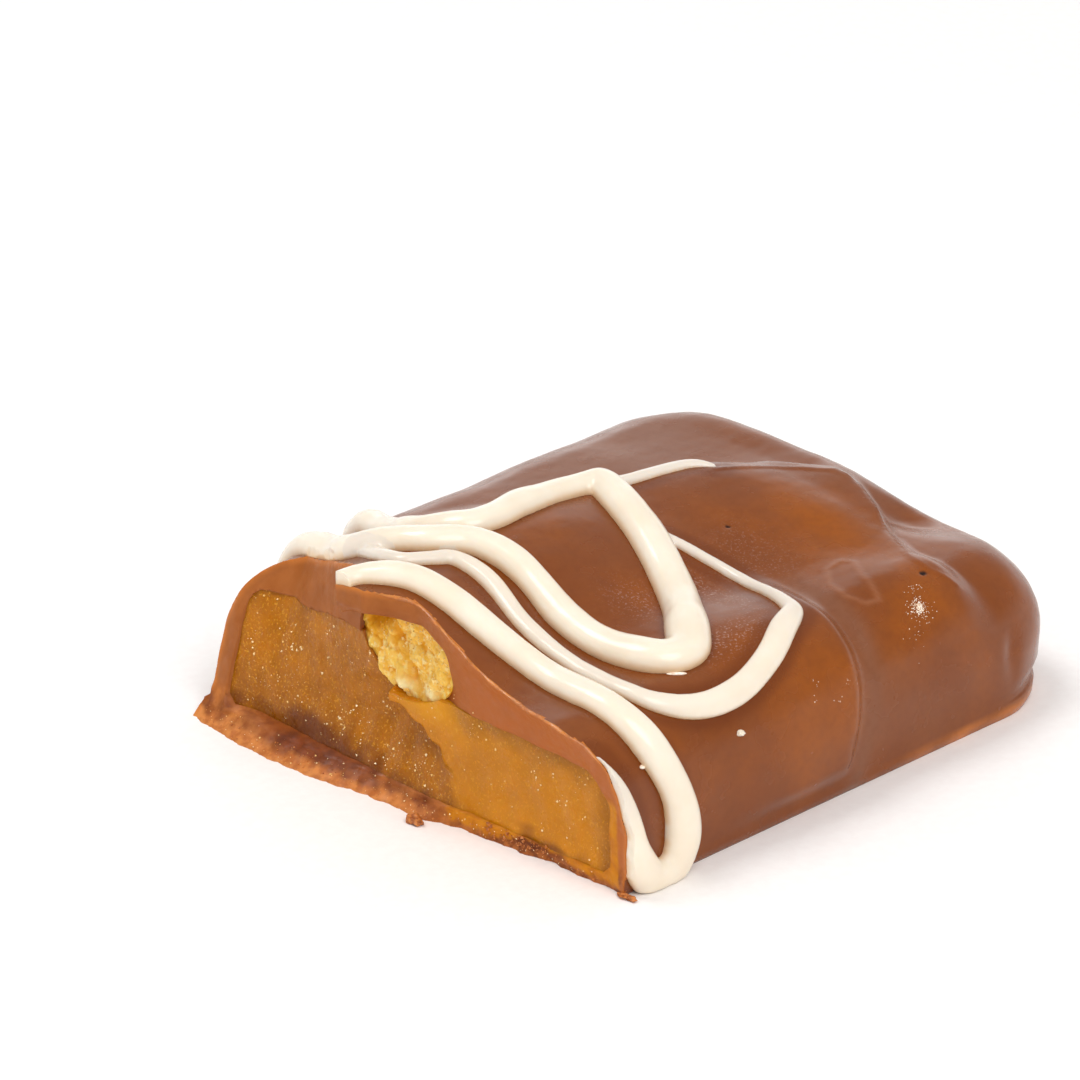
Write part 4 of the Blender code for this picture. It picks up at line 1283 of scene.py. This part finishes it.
def dress_icing():
    x, y, z = centres(icing).T
    set_zones(icing, (np.abs(x - drizzle_end(y, z)) < 0.03).astype(int))
    points = corners(icing)
    high = icing_path[nearest(icing_line, points)[0], 3]
    store(icing, "rise", nearest(skin_points, points)[1] / high)
    store(icing, "thin", 1.0 - ease(0.5, 0.85, high))


dress_coating()
dress_filling()
dress_core()
dress_icing()
coating.name = "chocolate_shell"
filling.name = "caramel_slab"
core.name = "biscuit_rod"
icing.name = "cream_drizzle"

cream = drizzle_look()
# Pale glossy material of the painted highlights on the skin and beside the rope
glossy = small_look("wet_highlight", (0.4, 2.0, 0.35, 0.65), (255, 246, 232), (240, 214, 186),
                    (0.3, 0.05, 0.15), 0.8)
# Pale grains that paint glints on the caramel, the lip and the biscuit
pale = small_look("caramel_glints", (1.0, 2.0, 0.4, 0.6), (246, 204, 122), (255, 236, 190),
                  (0.2, 0.05, 0.2), 0.8)
golden = small_look("biscuit_grains", (0.4, 3.0, 0.35, 0.65), (255, 228, 156), (242, 196, 96),
                    (0.3, 0.45, 0.7), 0.25, (0.1, 3.0, 0.02))
brown = small_look("chocolate_crumbs", (0.3, 3.0, 0.35, 0.65), (204, 126, 60), (146, 76, 28),
                   (0.3, 0.35, 0.6), 0.4, (0.12, 3.0, 0.03))
# Bright tan of the rim crest: painted edge highlight
crest_brown = small_look("chocolate_crest", (0.9, 3.0, 0.35, 0.65), (198, 122, 52), (168, 96, 36),
                         (0.5, 0.15, 0.35), 0.5, (0.3, 2.0, 0.02), 0.2)
place_in_frame(coating, [chocolate_skin(), chocolate_broken()])
place_in_frame(filling, [caramel_look()])
place_in_frame(core, [biscuit_look()])
place_in_frame(icing, [cream, cream])
small_pieces = [
    (glints(), pale),
    (skin_glints(), glossy),
    (crumbs(), brown),
    (grains(), golden),
    (lump("torn_crumb", (-1.75, -2.25, 0.25), (0.45, 0.62, 0.34), 91), brown),
    (lump("torn_flap", (0.05, -18.75, 0.14), (0.28, 0.75, 0.16), 92), brown),
    (fleck(), cream)]
small_pieces += [(bead, glossy) for bead in painted_highlight_beads()]
small_pieces.append((rim_thread(), crest_brown))
for piece, material in small_pieces:
    place_in_frame(piece, [material])
    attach(piece, "root")

for piece, node, slot in ((coating, "chocolate_coating", "milk_chocolate"),
                          (filling, "caramel_filling", "caramel"),
                          (core, "biscuit_core", "biscuit")):
    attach(piece, "root")
    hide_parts(node)
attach(icing, "root")
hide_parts("chocolate_coating")

# Floor, light and camera

def floor():
    size = 2.0
    corner = [(-size, -size, 0.0), (size, -size, 0.0), (size, size, 0.0), (-size, size, 0.0)]
    part = make_object("floor", corner, [(0, 1, 2, 3)])
    look = Look("floor_paper")
    colour = look.mix(look.uneven(0.8, 3.0, 0.3, 0.7), (250, 247, 245), (248, 244, 242))
    part.data.materials.append(look.finish(colour, 0.7, look.bump(look.noise(0.6, 3.0), 0.02), 0.3))


def area_light(name, direction, distance, size, power):
    data = bpy.data.lights.new(name, 'AREA')
    data.shape = 'DISK'
    data.size = size
    data.energy = power
    lamp = bpy.data.objects.new(name, data)
    bpy.context.scene.collection.objects.link(lamp)
    way = Vector(direction).normalized()
    lamp.location = way * distance
    lamp.rotation_mode = 'QUATERNION'
    lamp.rotation_quaternion = way.to_track_quat('Z', 'Y')


def lights():
    area_light("key", (-0.22, 0.35, 0.91), 0.6, 0.3, 1.3)
    area_light("fill", (-0.2, -0.6, 0.78), 0.7, 0.5, 2.4)
    area_light("behind", (0.6, 0.62, 0.3), 0.8, 0.5, 0.3)
    world = bpy.data.worlds.new("studio")
    bpy.context.scene.world = world
    world.use_nodes = True
    tree = world.node_tree
    coords = tree.nodes.new("ShaderNodeTexCoord")
    split = tree.nodes.new("ShaderNodeSeparateXYZ")
    tree.links.new(coords.outputs["Generated"], split.inputs[0])
    level = tree.nodes.new("ShaderNodeMapRange")
    level.interpolation_type = 'SMOOTHSTEP'
    for key, number in (("From Min", 0.0), ("From Max", 0.4), ("To Min", 1.3), ("To Max", 0.5)):
        level.inputs[key].default_value = number
    tree.links.new(split.outputs["Z"], level.inputs["Value"])
    back = tree.nodes["Background"]
    back.inputs["Color"].default_value = (1.0, 1.0, 1.0, 1.0)
    tree.links.new(level.outputs["Result"], back.inputs["Strength"])


def camera():
    azimuth = math.radians(CAMERA_AZIMUTH)
    elevation = math.radians(CAMERA_ELEVATION)
    right = Vector((math.cos(azimuth), math.sin(azimuth), 0.0))
    back = Vector((math.sin(azimuth) * math.cos(elevation),
                   -math.cos(azimuth) * math.cos(elevation), math.sin(elevation)))
    up = back.cross(right)
    aim = Vector((CAMERA_AIM[0] + OFFSET[0], CAMERA_AIM[1] + OFFSET[1], 0.0)) * MM
    eye = aim + back * CAMERA_BACK * MM
    data = bpy.data.cameras.new("camera")
    data.sensor_width = 36.0
    data.lens = CAMERA_LENS
    data.clip_start = 0.01
    data.clip_end = 20.0
    part = bpy.data.objects.new("camera", data)
    bpy.context.scene.collection.objects.link(part)
    part.matrix_world = Matrix(((right.x, up.x, back.x, eye.x), (right.y, up.y, back.y, eye.y),
                                (right.z, up.z, back.z, eye.z), (0.0, 0.0, 0.0, 1.0)))
    bpy.context.scene.camera = part


floor()
lights()
camera()
bpy.context.scene.view_settings.view_transform = 'Standard'
